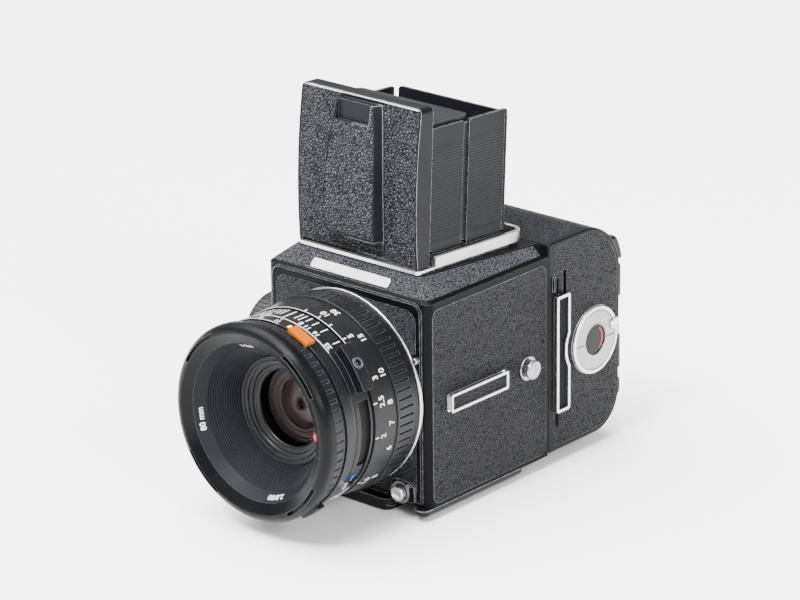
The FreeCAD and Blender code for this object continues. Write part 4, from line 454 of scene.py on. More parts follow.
look = {
    # Edge tone on the leather is a painted highlight.
    "leather": simple("leather_body", hide, edge=times(EDGE, 1.6)),
    "leather_front": simple("leather_front", hide, 0.85, light=times(HIDE_GRAIN_GLINT, 1.4)),
    # A lighter copy of the leather: painted light on the shoulder that faces up.
    "shoulder": simple("leather_shoulder_painted_light", hide, 0.8, 0.2, dark=times(HIDE_CREASE_SHADE, 3.0),
                       light=times(HIDE_GRAIN_GLINT, 2.6), rough=0.34),
    "lid": lid_look(),
    "wall": wall_look(),
    "base": base_look(),
    "rail": rail_look(),
    "handle": handle_look(),
    "insert": insert_look(),
    "magazine": magazine_look(),
    "foot": foot_look(),
    "crank": crank_look(),
    "enamel": simple("enamel_black", enamel, times(BLACK, 0.4), EDGE, 0.34, radius=0.22, shine=0.05),
    # Edges near white: painted highlight along the plate's edges, partly bare metal where rubbed.
    "front_plate": simple("enamel_front_plate", enamel, times(BLACK, 0.5), (0.66, 0.67, 0.69, 1.0),
                          radius=0.3, shine=0.05, low=0.04, high=0.3),
    "anodised": simple("anodised_black", enamel, times(BLACK, 1.2), times(EDGE, 0.6), 0.4),
    "socket": simple("socket_black", enamel, times(BLACK, 3.5), times(EDGE, 2.2), 0.36, radius=0.35,
                     shine=0.2),
    "barrel": barrel_look("barrel_black", 36.7),
    "grip": barrel_look("grip_black", 38.9),
    # Lighter edges: painted highlight on the bezel's rounding.
    "bezel": simple("bezel_black", turned, times(BLACK, 0.55), 0.24, edge=(0.15, 0.155, 0.17, 1.0),
                    radius=0.2, shine=0.09),
    "cone": simple("cone_black", turned, times(BLACK, 2.0), 0.5, pitch=0.45, depth=0.01,
                   edge=(0.035, 0.036, 0.04, 1.0), radius=0.12, shine=0.08),
    "soot": simple("flat_black", flat, SOOT, 0.85, grain=0.03),
    "chrome": simple("chrome_bright", plated),
    "satin": simple("chrome_satin", plated, times(SILVER, 0.78), 0.3),
    "ring": simple("ring_bright", turned, times(SILVER, 0.8), 0.2, metal=1.0, pitch=0.3, depth=0.004),
    "key": simple("key_satin", plated, times(SILVER, 0.5), 0.32, along=2, radius=0.3),
    # Strong dusk darkens the lug in broad blotches: painted shade for the dark bands the chrome reflects.
    "lug": simple("lug_chrome", plated, times(SILVER, 0.55), 0.2, along=0, streak=0.04, radius=0.4,
                  dusk=0.4),
    "gunmetal": simple("gunmetal", plated, times(SILVER, 0.3), 0.28),
    "steel": simple("steel_brushed", plated, times(SILVER, 0.62), 0.3, along=2),
    "blade": simple("blade_blued", plated, (0.06, 0.065, 0.08, 1.0), 0.35),
    # Lighter edges: painted highlights, the light rings seen inside the lens.
    "cell": simple("cell_bronze", turned, (0.022, 0.015, 0.014, 1.0), 0.35, pitch=0.3, depth=0.004,
                   edge=(0.09, 0.075, 0.07, 1.0), radius=0.08),
    # Lighter step edges: painted highlights, the light rings seen inside the lens.
    "steps": simple("cell_steps", turned, times(BLACK, 1.2), 0.3, edge=(0.20, 0.19, 0.19, 1.0),
                    radius=0.08),
    "coated": simple("coated_brown", flat, (0.022, 0.013, 0.0115, 1.0), 0.16, grain=0.0002,
                     scale=200.0, shine=0.13),
    "glass_front": glass("glass_front", (0.20, 0.12, 0.14, 1.0), index=1.0),
    "glass_rear": glass("glass_rear", (0.9, 0.75, 0.5, 1.0)),
    "screen": simple("screen_ground_glass", flat, (0.10, 0.11, 0.10, 1.0), 0.45, grain=0.02,
                     scale=4000.0),
    "mirror": simple("mirror_silver", flat, (0.7, 0.7, 0.7, 1.0), 0.05, metal=1.0, grain=0.0005),
    "plate": simple("nameplate_bright", plated, (0.42, 0.42, 0.44, 1.0), 0.3, along=0),
    "orange": simple("orange_plastic", flat, (0.30, 0.066, 0.0, 1.0), 0.4, shine=0.05),
    "white": simple("mark_white", flat, (0.55, 0.55, 0.54, 1.0), 0.55),
    "cream": simple("mark_cream", flat, (0.80, 0.66, 0.25, 1.0), 0.5),
    "red": simple("mark_red", flat, (0.30, 0.004, 0.008, 1.0), 0.25),
    "blue": simple("mark_blue", flat, (0.03, 0.12, 0.42, 1.0), 0.35),
    "film_window": simple("film_window_green", flat, (0.004, 0.0065, 0.005, 1.0), 0.12, grain=0.001,
                          shine=0.12),
    "spool": simple("spool_plastic", flat, (0.012, 0.012, 0.013, 1.0), 0.45),
    "paper": simple("film_paper", flat, (0.40, 0.37, 0.30, 1.0), 0.7),
}

node_look = {
    "body_shell": "enamel", "front_plate": "front_plate", "front_leather": "leather_front",
    "side_leathers": "leather", "shoulder_leather": "shoulder", "base_plate": "foot",
    "accessory_rail": "rail", "strap_lugs": "lug", "mirror_box": "soot", "focusing_screen": "screen",
    "lens_mount_ring": "ring", "crank_base": "enamel", "finder_base": "base", "finder_rail": "satin",
    "hood_lid": "lid", "reflex_mirror": "mirror", "rear_flap_upper": "soot",
    "rear_flap_lower": "soot", "lens_flange": "barrel", "focus_ring": "barrel", "focus_grip": "grip",
    "lens_barrel": "barrel", "flash_socket": "socket", "stop_down_lever": "anodised",
    "aperture_ring": "barrel", "coupling_tab": "orange", "shutter_ring": "barrel",
    "front_bezel": "bezel", "baffle_cone": "cone", "front_glass": "glass_front",
    "shutter_case": "soot", "rear_glass": "glass_rear", "release_button": "chrome",
    "release_lock": "gunmetal", "lens_catch": "steel", "winding_knob": "crank", "crank_arm": "satin",
    "hood_left_front": "wall", "hood_left_rear": "wall", "hood_right_front": "wall",
    "hood_right_rear": "wall", "hood_back": "anodised", "magnifier_arm": "anodised",
    "magnifier_lens": "glass_rear", "magazine_shell": "magazine", "slide_pocket": "anodised",
    "magazine_latch": "anodised", "dark_slide": "handle", "insert_plate": "insert", "insert_frame": "soot",
    "supply_spool": "paper", "take_up_spool": "spool", "key_disc": "key", "key_tab": "key",
    "magazine_crank": "satin",
}
for number in range(1, 6):
    node_look["iris_blade_%d" % number] = "blade"

for name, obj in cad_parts.items():
    obj.data.materials.clear()
    obj.data.materials.append(look[node_look[name]])


# Geometry helpers
def piece(name, verts, faces, material, body, smooth=False):
    """A mesh from millimetres, with its material, that rides a body."""
    data = bpy.data.meshes.new(name)
    data.from_pydata([tuple(c * MM for c in v) for v in verts], [], faces)
    data.update()
    if smooth:
        data.polygons.foreach_set("use_smooth", [True] * len(data.polygons))
    obj = bpy.data.objects.new(name, data)
    bpy.context.scene.collection.objects.link(obj)
    data.materials.append(look[material])
    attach(obj, body)


def belt(n, low=0, high=None):
    """Faces between two rings of n vertices that start at low and high."""
    high = low + n if high is None else high
    return [[low + k, low + (k + 1) % n, high + (k + 1) % n, high + k] for k in range(n)]


def between(rows, steps):
    """Rows of sizes, with more laid evenly between each two."""
    out = []
    for first, last in zip(rows, rows[1:]):
        for k in range(steps):
            t = k / steps
            out.append(tuple(a + (b - a) * t for a, b in zip(first, last)))
    out.append(rows[-1])
    return out


def gather(sets):
    """Several sets of vertices and faces as one."""
    verts = []
    faces = []
    for v, f in sets:
        start = len(verts)
        verts += v
        faces += [[start + i for i in one] for one in f]
    return verts, faces


def on_barrel(radius, angle, y):
    """Place for writing on the lens: text runs round it, its top towards the front."""
    def place(u, v, w):
        a = math.radians(angle) + u / radius
        r = radius + w
        return (r * math.cos(a), y - v, AXIS_Z + r * math.sin(a))
    return place


# Sloping name ring: radius of its figures, outer radius, depth there and fall towards the axis
NAME_R = 29.7
NAME_OUT_R = 31.4
NAME_OUT_Y = -83.12
NAME_FALL = 4.4 / 3.4


def on_name_ring(radius, angle):
    """Place for writing on the sloping name ring, read from the front."""
    def place(u, v, w):
        a = math.radians(angle) - u / radius
        r = radius + v * 0.6
        y = NAME_OUT_Y + (NAME_OUT_R - r) * NAME_FALL - w
        return (r * math.cos(a), y, AXIS_Z + r * math.sin(a))
    return place


def on_right_side(y, z, x):
    """Place for writing on the right hand side."""
    def place(u, v, w):
        return (x - w, y - u, z + v)
    return place


def letters(name, parts, material, body, lift=0.04, bold=0.06):
    """Writing, each part (text, size, place), in one piece."""
    sets = []
    for text, size, place in parts:
        curve = bpy.data.curves.new(name, "FONT")
        curve.body = text
        curve.size = size
        curve.align_x = "CENTER"
        curve.align_y = "CENTER"
        curve.resolution_u = 3
        curve.extrude = lift
        curve.offset = bold
        made = bpy.data.objects.new(name, curve)
        bpy.context.scene.collection.objects.link(made)
        shape = made.to_mesh()
        verts = [place(v.co.x, v.co.y, v.co.z) for v in shape.vertices]
        sets.append((verts, [list(p.vertices) for p in shape.polygons]))
        made.to_mesh_clear()
        bpy.data.objects.remove(made)
        bpy.data.curves.remove(curve)
    verts, faces = gather(sets)
    piece(name, verts, faces, material, body)


def band(radius, y0, y1, a0, a1, lift=0.05, steps=None, far_radius=None):
    """Curved strip on the lens, its far end at another radius if one is given."""
    steps = steps or max(2, int(abs(a1 - a0) / 3) + 1)
    end = far_radius or radius
    verts = []
    faces = []
    for i in range(steps + 1):
        a = math.radians(a0 + (a1 - a0) * i / steps)
        for r, y in ((radius - lift, y0), (radius + lift, y0), (end + lift, y1), (end - lift, y1)):
            verts.append((r * math.cos(a), y, AXIS_Z + r * math.sin(a)))
    for i in range(steps):
        faces += belt(4, i * 4)
    e = steps * 4
    faces.append([3, 2, 1, 0])
    faces.append([e, e + 1, e + 2, e + 3])
    return verts, faces


def lathe(profile, steps=96):
    """Closed ring round the lens axis from (radius, y) points."""
    n = len(profile)
    verts = []
    faces = []
    for i in range(steps):
        a = 2 * math.pi * i / steps
        verts += [(r * math.cos(a), y, AXIS_Z + r * math.sin(a)) for r, y in profile]
        faces += belt(n, i * n, (i + 1) % steps * n)
    return verts, faces


def loop(points, radius, steps):
    """Outline of (u, v) corners, each rounded."""
    out = []
    n = len(points)
    for i in range(n):
        p = Vector(points[i])
        a = (Vector(points[i - 1]) - p).normalized()
        b = (Vector(points[(i + 1) % n]) - p).normalized()
        turn = a.angle(b)
        reach = radius / math.tan(turn / 2)
        centre = p + (a + b).normalized() * radius / math.sin(turn / 2)
        start = p + a * reach - centre
        end = p + b * reach - centre
        for k in range(steps + 1):
            t = k / steps
            out.append(centre + start.slerp(end, t, start))
    return out


def slab(points, radius, place, thick, bevel, steps=6):
    """Plate with rounded corners and a bevelled face; place maps (u, v, w) to space."""
    outer = loop(points, radius, steps)
    middle = Vector([sum(p[k] for p in outer) / len(outer) for k in (0, 1)])
    inner = [p + (middle - p).normalized() * bevel for p in outer]
    n = len(outer)
    verts = [place(p.x, p.y, 0.0) for p in outer]
    verts += [place(p.x, p.y, thick - bevel) for p in outer]
    verts += [place(p.x, p.y, thick) for p in inner]
    faces = [list(range(n))[::-1], list(range(2 * n, 3 * n))]
    faces += belt(n) + belt(n, n)
    return verts, faces


def disc_x(x0, x1, y, z, r, steps=48):
    """Round plate across X."""
    verts = []
    for x in (x0, x1):
        for i in range(steps):
            a = 2 * math.pi * i / steps
            verts.append((x, y + r * math.cos(a), z + r * math.sin(a)))
    faces = [list(range(steps))[::-1], list(range(steps, 2 * steps))]
    faces += belt(steps)
    return verts, faces


def bead(path, radius, sides=6):
    """Thin round bead along a path of points."""
    verts = []
    faces = []
    spots = [Vector(p) for p in path]
    for i, p in enumerate(spots):
        ahead = spots[min(i + 1, len(spots) - 1)] - spots[max(i - 1, 0)]
        side = ahead.normalized().cross(Vector((0, -1, 0))).normalized()
        out = side.cross(ahead).normalized()
        for k in range(sides):
            a = 2 * math.pi * k / sides
            q = p + side * radius * math.cos(a) + out * radius * math.sin(a)
            verts.append(tuple(q))
    for i in range(len(spots) - 1):
        faces += belt(sides, i * sides)
    faces.append(list(range(sides))[::-1])
    e = (len(spots) - 1) * sides
    faces.append([e + k for k in range(sides)])
    return verts, faces


def leaned(x, y, z):
    """A point drawn upright over the hood's seat, leaned with the hood."""
    dy = y - HOOD_Y
    dz = z - HOOD_Z
    return (x, HOOD_Y + dy * math.cos(LEAN) + dz * math.sin(LEAN),
            HOOD_Z - dy * math.sin(LEAN) + dz * math.cos(LEAN))


# Distance ring
FOCUS_BACK = (38.7, -45.45)
FOCUS_FRONT = (38.0, -57.05)
INFINITY_ANGLE = 96.4
NEARNESS_PER_DEGREE = 0.00147
METRES_PER_FOOT = 0.3048
FEET_Y = -48.3
METRES_Y = -52.4
DISTANCE_TICK_Y = (-56.8, -55.0)
DISTANCE_LINE_Y = (-57.02, -56.8)


def focus_radius(y):
    """Radius of the tapering distance ring."""
    k = (FOCUS_BACK[1] - y) / (FOCUS_BACK[1] - FOCUS_FRONT[1])
    return FOCUS_BACK[0] + (FOCUS_FRONT[0] - FOCUS_BACK[0]) * k


def distance_angle(nearness):
    """Angle of a distance on its ring, from one over the distance in feet."""
    return INFINITY_ANGLE - nearness / NEARNESS_PER_DEGREE


def distance_scale():
    """Rows of feet and metres on the distance ring, with ticks and a line before them."""
    feet = ("3", "3.5", "4", "5", "6", "7", "8", "10", "15", "30")
    metres = ("0.9", "1", "1.2", "1.5", "2", "2.5", "3", "5", "10")
    rows = ((feet, 1.0, FEET_Y), (metres, METRES_PER_FOOT, METRES_Y))
    parts = []
    for texts, unit, y in rows:
        for text in texts:
            a = distance_angle(unit / float(text))
            parts.append((text, 3.8, on_barrel(focus_radius(y) + 0.03, a, y)))
    letters("distance_numbers", parts, "white", "focus")
    sets = []
    y0, y1 = DISTANCE_TICK_Y
    for text in metres + ("7", "20"):
        a = distance_angle(METRES_PER_FOOT / float(text))
        sets.append(band(focus_radius(y0), y0, y1, a - 0.35, a + 0.35, far_radius=focus_radius(y1)))
    y0, y1 = DISTANCE_LINE_Y
    sets.append(band(focus_radius(-56.95) + 0.02, y0, y1, 52, 160, steps=60))
    verts, faces = gather(sets)
    piece("distance_marks", verts, faces, "white", "focus")


# Depth scale and the marks of the moving rings
SCALE_R = 37.4
SCALE_BACK = -58.0
DEPTH_NUMBERS_Y = -64.3
APERTURE_R = 37.9
SHUTTER_R = 37.4
INDEX_ANGLE = 90.0
TICK_HALF = 0.32
STOP_ANGLE = 87.0
STOP_STEP = 12.5
SPEED_ANGLE = 138.0
SPEED_STEP = 8.6


def depth_scale():
    """Index line, with depth of field marks on each side of it, four of them numbered."""
    parts = []
    sets = []
    for text, off in (("22", 35.0), ("16", 24.5), ("11", 17.4), ("8", 12.4)):
        for side in (-1, 1):
            a = INDEX_ANGLE + side * off
            parts.append((text, 3.0, on_barrel(SCALE_R, a, DEPTH_NUMBERS_Y)))
            sets.append(band(SCALE_R, -61.9, SCALE_BACK, a - TICK_HALF, a + TICK_HALF))
    for off in (5.6, 8.6):
        for side in (-1, 1):
            a = INDEX_ANGLE + side * off
            sets.append(band(SCALE_R, -63.4, SCALE_BACK, a - TICK_HALF, a + TICK_HALF))
    sets.append(band(SCALE_R, -66.0, SCALE_BACK, INDEX_ANGLE - 0.4, INDEX_ANGLE + 0.4))
    sets.append(band(SCALE_R, -66.55, -66.2, 51, 360 - 51, steps=140))
    letters("depth_numbers", parts, "white", "lens_head")
    verts, faces = gather(sets)
    piece("depth_marks", verts, faces, "white", "lens_head")


def ring_scales():
    """Numbers and marks of the aperture and shutter rings."""
    stops = ("11", "8", "5.6", "4", "2.8")
    places = [STOP_ANGLE + STOP_STEP * i for i in range(len(stops))]
    parts = [(text, 2.7, on_barrel(APERTURE_R, a, -70.6)) for text, a in zip(stops, places)]
    letters("aperture_numbers", parts, "white", "aperture")
    ticks = [band(APERTURE_R, -68.9, -68.1, a - 0.3, a + 0.3) for a in places]
    ticks.append(band(APERTURE_R, -72.72, -72.45, 84, 150, steps=40))
    verts, faces = gather(ticks)
    piece("aperture_marks", verts, faces, "white", "aperture")
    verts, faces = band(APERTURE_R, -71.8, -69.8, 76.8, 78.6, lift=0.12)
    piece("coupling_mark", verts, faces, "cream", "aperture")
    speeds = ("500", "250", "125", "60", "30", "15", "8", "4", "2", "1", "B")
    parts = [(text, 2.5, on_barrel(SCALE_R, SPEED_ANGLE + SPEED_STEP * i, -63.6))
             for i, text in enumerate(speeds)]
    letters("speed_numbers", parts, "white", "lens_head")
    verts, faces = band(SHUTTER_R, -73.9, -73.2, SPEED_ANGLE - 0.8, SPEED_ANGLE + 0.8, lift=0.06)
    piece("speed_index", verts, faces, "white", "shutter")


# Blue mark and silver tab as (y from, y to, angle from, angle to)
BLUE_MARK = (-64.9, -63.3, -33.4, -29.6)
SILVER_TAB = (-68.6, -67.2, -37.0, -31.6)
TOOTH_Y = (-61.6, -60.2)
TOOTH_FIRST = -78.0
TOOTH_STEP = 1.6
TOOTH_WIDE = 0.9
TOOTH_COUNT = 22


def lens_fittings():
    """Blue mark, silver tab and serrated strip low on the lens, on the +X side."""
    verts, faces = band(SCALE_R + 0.2, *BLUE_MARK, lift=0.3)
    piece("blue_mark", verts, faces, "blue", "lens_head")
    verts, faces = band(APERTURE_R + 0.45, *SILVER_TAB, lift=0.45)
    piece("silver_tab", verts, faces, "chrome", "aperture")
    teeth = []
    for i in range(TOOTH_COUNT):
        a = TOOTH_FIRST + TOOTH_STEP * i
        teeth.append(band(SCALE_R + 0.1, *TOOTH_Y, a, a + TOOTH_WIDE, lift=0.35))
    verts, faces = gather(teeth)
    piece("serrated_strip", verts, faces, "chrome", "lens_head")


def glass_cells():
    """Stepped cells round the front glass, and the coated inner glass."""
    profile = [(15.9, -58.6), (13.6, -58.3), (13.4, -57.6), (11.6, -57.4), (11.3, -56.9), (10.3, -56.8),
               (10.1, -56.4), (10.1, -56.1), (15.9, -56.1)]
    verts, faces = lathe(profile)
    piece("inner_cell", verts, faces, "cell", "lens_head")
    steps = [(21.95, -66.1), (21.5, -66.35), (21.1, -66.1), (20.0, -66.1), (19.8, -66.35), (19.3, -66.1),
             (19.1, -65.3), (17.9, -65.1), (17.6, -64.8), (17.4, -64.2), (16.6, -64.1), (16.4, -63.8),
             (15.9, -63.7), (15.5, -63.5), (15.2, -63.2), (16.4, -62.9), (18.9, -62.9), (18.9, -65.9),
             (21.95, -65.9)]
    verts, faces = lathe(steps)
    piece("front_cell", verts, faces, "steps", "lens_head")
    verts, faces = lathe([(9.6, -56.9), (10.05, -56.5), (10.05, -56.2), (0.01, -56.2), (0.01, -57.9),
                          (4.0, -57.75), (7.4, -57.4)])
    piece("inner_glass", verts, faces, "coated", "lens_head", smooth=True)


def name_ring():
    """Figures of the sloping name ring, and the red dot for a filter's mark."""
    texts = (("1:2.8", 99.0), ("80 mm", 192.0), ("2.8/80", 287.0))
    parts = [(text, 3.3, on_name_ring(NAME_R, angle)) for text, angle in texts]
    letters("lens_size", parts, "white", "lens_head", 0.03)
    verts, faces = slab([(-0.9, -0.5), (0.9, -0.5), (0.9, 0.5), (-0.9, 0.5)], 0.45,
                        lambda u, v, w: (31.6 + v, -83.35 - w, AXIS_Z + 2.6 + u), 0.12, 0.03, 3)
    piece("red_dot", verts, faces, "red", "lens_head")


# Front shoulder
SHOULDER_LOW = (-30.2, 88.0)
SHOULDER_HIGH = (-23.2, 96.0)
NAMEPLATE_HALF = (19.8, 2.1)
NAMEPLATE_UP = 0.42  # share of the slope below the plate's middle


def nameplate():
    """Bare plate on the front shoulder, with a rivet at each end."""
    run = Vector((SHOULDER_HIGH[0] - SHOULDER_LOW[0], SHOULDER_HIGH[1] - SHOULDER_LOW[1]))
    length = run.length
    run.normalize()

    def place(u, v, w):
        s = v + length * NAMEPLATE_UP
        y = SHOULDER_LOW[0] + run.x * s - run.y * (w + 0.05)
        z = SHOULDER_LOW[1] + run.y * s + run.x * (w + 0.05)
        return (u, y, z)

    w, h = NAMEPLATE_HALF
    verts, faces = slab([(-w, -h), (w, -h), (w, h), (-w, h)], 1.1, place, 0.5, 0.18)
    piece("nameplate", verts, faces, "plate", "body")
    rivets = []
    for side in (-1, 1):
        ends = loop([(side * w - 0.55, -0.55), (side * w + 0.55, -0.55), (side * w + 0.55, 0.55),
                     (side * w - 0.55, 0.55)], 0.5, 4)
        rivets.append(([place(p.x - side * 1.6, p.y, 0.52) for p in ends], [list(range(len(ends)))]))
    verts, faces = gather(rivets)
    piece("nameplate_rivets", verts, faces, "steel", "body")


# Hood: the raised form's face as (height, half width, depth), and its foot as (height, half width)
FORM = ((10.6, 12.6, 6.35), (26.0, 12.7, 7.2), (45.0, 11.6, 6.2), (61.6, 9.0, 4.3))
FOOT_LINE_START = 3.2
FOOT_LINE = ((1.6, 13.4), (9.9, 13.8), (26.0, 13.8), (45.0, 13.1), (54.6, 12.3), (62.2, 11.2))


def lid_front(height):
    """Depth of the bowed lid's face at a height over its seat."""
    k = (height - LID_LOW) / (LID_TOP - LID_LOW)
    return HOOD_Y - LID_BOW * 4.0 * k * (1.0 - k)


def lid_trim():
    """Lines round the raised form's foot; a dark bead on the form's face along its left and lower edge,
    painted shade; and a bright bead on the lid's top edge, painted highlight.
    """
    left = [p for p in between(FOOT_LINE, 6) if p[0] > FOOT_LINE_START]
    path = [leaned(-x - 0.15, lid_front(h) - 0.02, HOOD_Z + h) for h, x in reversed(left)]
    path += [leaned(x + 0.15, lid_front(h) - 0.02, HOOD_Z + h) for h, x in left]
    verts, faces = bead(path, 0.22)
    piece("lid_outline", verts, faces, "soot", "body", smooth=True)
    # Dark bead along the form's left edge and lower corner: painted shade.
    low, wide, deep = FORM[0]
    turn = 2.0
    face = reversed(between(FORM, 8))
    path = [leaned(-w + 0.7, HOOD_Y - d, HOOD_Z + h) for h, w, d in face if h > low + 2.2]
    for k in range(7):
        a = math.radians(15 * k)
        x = -wide + 2.7 - turn * math.cos(a)
        path.append(leaned(x, HOOD_Y - deep - 0.08, HOOD_Z + low + 2.3 - turn * math.sin(a)))
    path.append(leaned(wide - 1.2, HOOD_Y - deep, HOOD_Z + low + 0.3))
    verts, faces = bead(path, 0.3)
    piece("lid_form_painted_shade", verts, faces, "soot", "body", smooth=True)
    # Bright bead along the lid's top edge: painted highlight.
    height = LID_TOP - 0.6
    y = lid_front(height) - 0.05
    start = -LID_HALF + 1.3
    path = [leaned(start + (2 * LID_HALF - 2.6) * k / 20, y, HOOD_Z + height) for k in range(21)]
    verts, faces = bead(path, 0.4)
    piece("lid_edge_painted_highlight", verts, faces, "satin", "body", smooth=True)


# Magazine
KEY_WINDOW_R = 6.2
SIGNAL_OUT_R = 5.4
SIGNAL_IN_R = 5.7
SIGNAL_SHIFT = 1.4


def key_window():
    """Round film window in the key, with its red crescent."""
    x = HALF + 0.3
    verts, faces = disc_x(x + 0.02, x + 0.2, KEY_Y, KEY_Z, KEY_WINDOW_R)
    piece("film_window", verts, faces, "film_window", "key_disc")
    steps = 20
    outline = []
    for i in range(steps + 1):
        a = math.radians(-58 + 116 * i / steps)
        outline.append((SIGNAL_OUT_R * math.cos(a), SIGNAL_OUT_R * math.sin(a)))
    for i in range(1, steps):
        a = math.radians(50 - 100 * i / steps)
        outline.append((SIGNAL_IN_R * math.cos(a) - SIGNAL_SHIFT, SIGNAL_IN_R * math.sin(a)))
    n = len(outline)
    verts = [(x + 0.19 + lift, KEY_Y + a, KEY_Z + b) for lift in (0.0, 0.05) for a, b in outline]
    faces = [list(range(n))[::-1], list(range(n, 2 * n))] + belt(n)
    piece("film_signal", verts, faces, "red", "key_disc")
    verts, faces = disc_x(HALF + 1.05, HALF + 1.16, KEY_Y, KEY_Z - 9.3, 0.7, 20)
    piece("key_rivet", verts, faces, "steel", "key_disc")


KEY_GRIP_ANGLE = 20.0
KEY_GRIP_IN_R = 9.8


def key_grip():
    """Finger lug on the key's half ring, reaching over the disc's rim."""
    def place(u, v, w):
        a = math.radians(KEY_GRIP_ANGLE)
        out = v + KEY_GRIP_IN_R
        y = KEY_Y + out * math.cos(a) - u * math.sin(a)
        z = KEY_Z + out * math.sin(a) + u * math.cos(a)
        return (HALF + 1.12 + w, y, z)
    verts, faces = slab([(-1.6, 0.0), (1.6, 0.0), (1.6, 4.6), (-1.6, 4.6)], 0.8, place, 0.9, 0.25)
    piece("key_grip", verts, faces, "chrome", "key_tab")


COUNTER_PLACE = (54.3, 76.5)


def counter():
    """Frame counter behind its glass on the right hand side of the magazine."""
    y, z = COUNTER_PLACE
    verts, faces = disc_x(-HALF + 0.7, -HALF + 0.78, y, z, 3.35)
    piece("counter_dial", verts, faces, "soot", "magazine")
    letters("counter_number", [("12", 3.4, on_right_side(y, z, -HALF + 0.66))], "white", "magazine", 0.03)
    verts, faces = disc_x(-HALF + 0.05, -HALF + 0.35, y, z, 3.3)
    piece("counter_glass", verts, faces, "glass_rear", "magazine")


SCREW_X = (-17.0, 17.0)
SCREW_Y = (-24.0, 20.0)
SCREW_R = 2.0


def screws():
    """Screws of the foot, each slot a flat black strip: painted shade where a cut slot would be."""
    sets = []
    slots = []
    steps = 28
    turns = [2 * math.pi * i / steps for i in range(steps)]
    for x in SCREW_X:
        for y in SCREW_Y:
            ring = [(x + SCREW_R * math.cos(a), y + SCREW_R * math.sin(a)) for a in turns]
            verts = [(a, b, 0.05) for a, b in ring] + [(a, b, 0.4) for a, b in ring]
            faces = [list(range(steps)), list(range(steps, 2 * steps))[::-1]]
            faces += [[a, d, c, b] for a, b, c, d in belt(steps)]
            sets.append((verts, faces))
            # Flat black strips stand for the slots: painted shade.
            slots.append(([(x - 1.7, y - 0.25, 0.03), (x + 1.7, y - 0.25, 0.03), (x + 1.7, y + 0.25, 0.03),
                           (x - 1.7, y + 0.25, 0.03)], [[3, 2, 1, 0]]))
    verts, faces = gather(sets)
    piece("foot_screws", verts, faces, "steel", "body")
    verts, faces = gather(slots)
    piece("foot_screw_slot_shade", verts, faces, "soot", "body")


distance_scale()
depth_scale()
ring_scales()
lens_fittings()
glass_cells()
name_ring()
nameplate()
lid_trim()
key_window()
key_grip()
counter()
screws()


# Camera, in millimetres
VIEW_AZIMUTH = 41.16
VIEW_ELEVATION = 20.12
VIEW_ROLL = -0.63
VIEW_AIM = (0, -11.0, 45.0)
VIEW_SHIFT = (7.6, 28.9)
VIEW_FAR = 1512.8
FOCAL_PIXELS = 3902.0
PICTURE_WIDTH = 800.0
SENSOR = 36.0


def place_camera():
    """The photograph's view."""
    az = math.radians(VIEW_AZIMUTH)
    el = math.radians(VIEW_ELEVATION)
    roll = math.radians(VIEW_ROLL)
    back = Vector((math.sin(az) * math.cos(el), -math.cos(az) * math.cos(el), math.sin(el)))
    right = Vector((math.cos(az), math.sin(az), 0))
    up = back.cross(right)
    level = right * math.cos(roll) + up * math.sin(roll)
    tall = up * math.cos(roll) - right * math.sin(roll)
    spot = Vector(VIEW_AIM) + level * VIEW_SHIFT[0] + tall * VIEW_SHIFT[1] + back * VIEW_FAR
    data = bpy.data.cameras.new("view")
    data.sensor_width = SENSOR
    data.lens = FOCAL_PIXELS / PICTURE_WIDTH * SENSOR
    data.clip_start = 0.05
    data.clip_end = 50.0
    cam = bpy.data.objects.new("view", data)
    turn = Matrix((level, tall, back)).transposed()
    cam.matrix_world = Matrix.Translation(spot * MM) @ turn.to_4x4()
    bpy.context.scene.collection.objects.link(cam)
    bpy.context.scene.camera = cam


# Floor, room and lights, in metres
FLOOR_HALF = 8.0


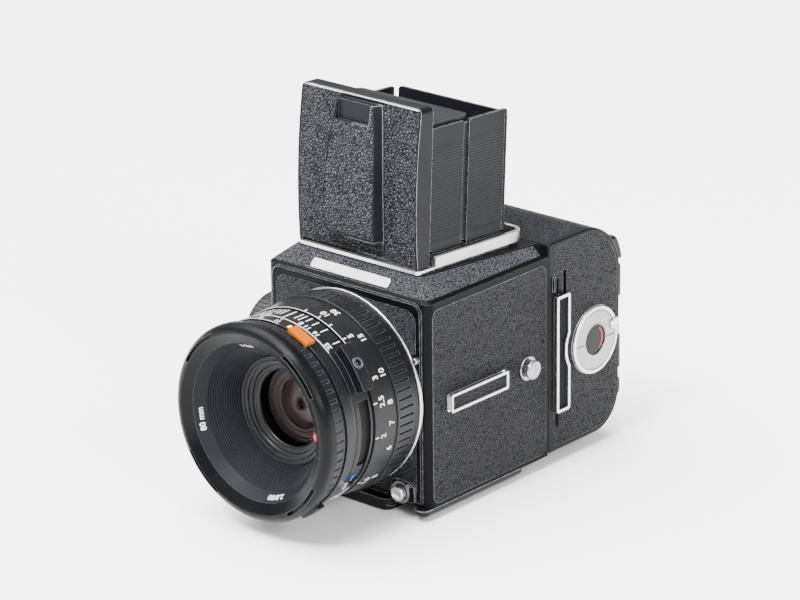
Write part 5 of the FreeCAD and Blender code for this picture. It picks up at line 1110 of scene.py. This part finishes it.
def lamp(name, spot, aim, size, power):
    """Rectangular soft light, aimed at a point."""
    data = bpy.data.lights.new(name, "AREA")
    data.shape = "RECTANGLE"
    data.size = size[0]
    data.size_y = size[1]
    data.energy = power
    obj = bpy.data.objects.new(name, data)
    obj.location = spot
    obj.rotation_euler = (Vector(aim) - Vector(spot)).to_track_quat("-Z", "Y").to_euler()
    obj.visible_transmission = False
    bpy.context.scene.collection.objects.link(obj)


def studio_floor():
    """Plain pale floor."""
    net = Net("studio_floor")
    net.set(Base_Color=(0.93, 0.93, 0.93, 1.0), Roughness=0.8, Specular_IOR_Level=0.2)
    half = FLOOR_HALF
    data = bpy.data.meshes.new("studio_floor")
    data.from_pydata([(-half, -half, 0), (half, -half, 0), (half, half, 0), (-half, half, 0)], [],
                     [[0, 1, 2, 3]])
    floor = bpy.data.objects.new("studio_floor", data)
    data.materials.append(net.material)
    bpy.context.scene.collection.objects.link(floor)


def surroundings():
    """Pale room, brighter above: its strength grows with the height of the direction."""
    world = bpy.data.worlds.new("studio")
    world.use_nodes = True
    tree = world.node_tree
    towards = tree.nodes.new("ShaderNodeTexCoord").outputs["Generated"]
    split = tree.nodes.new("ShaderNodeSeparateXYZ")
    tree.links.new(towards, split.inputs[0])
    rise = tree.nodes.new("ShaderNodeMapRange")
    tree.links.new(split.outputs[2], rise.inputs["Value"])
    for name, value in (("From Min", 0.05), ("From Max", 0.6), ("To Min", 0.6), ("To Max", 1.15)):
        rise.inputs[name].default_value = value
    back = tree.nodes["Background"]
    back.inputs[0].default_value = (0.97, 0.98, 1.0, 1.0)
    tree.links.new(rise.outputs[0], back.inputs[1])
    bpy.context.scene.world = world


def lights():
    """Wide soft light from above, and two smaller lamps."""
    sky = bpy.data.lights.new("overhead", "SUN")
    sky.energy = 13.0
    sky.angle = math.radians(70)
    lit = bpy.data.objects.new("overhead", sky)
    lit.rotation_euler = (math.radians(12), math.radians(-14), 0)
    lit.visible_transmission = False
    bpy.context.scene.collection.objects.link(lit)
    lamp("key", (0.1, -1.2, 1.7), (0, 0, 0.07), (0.4, 0.4), 60)
    lamp("side", (1.6, -0.5, 0.9), (0, 0, 0.07), (0.5, 0.7), 40)


place_camera()
studio_floor()
surroundings()
lights()
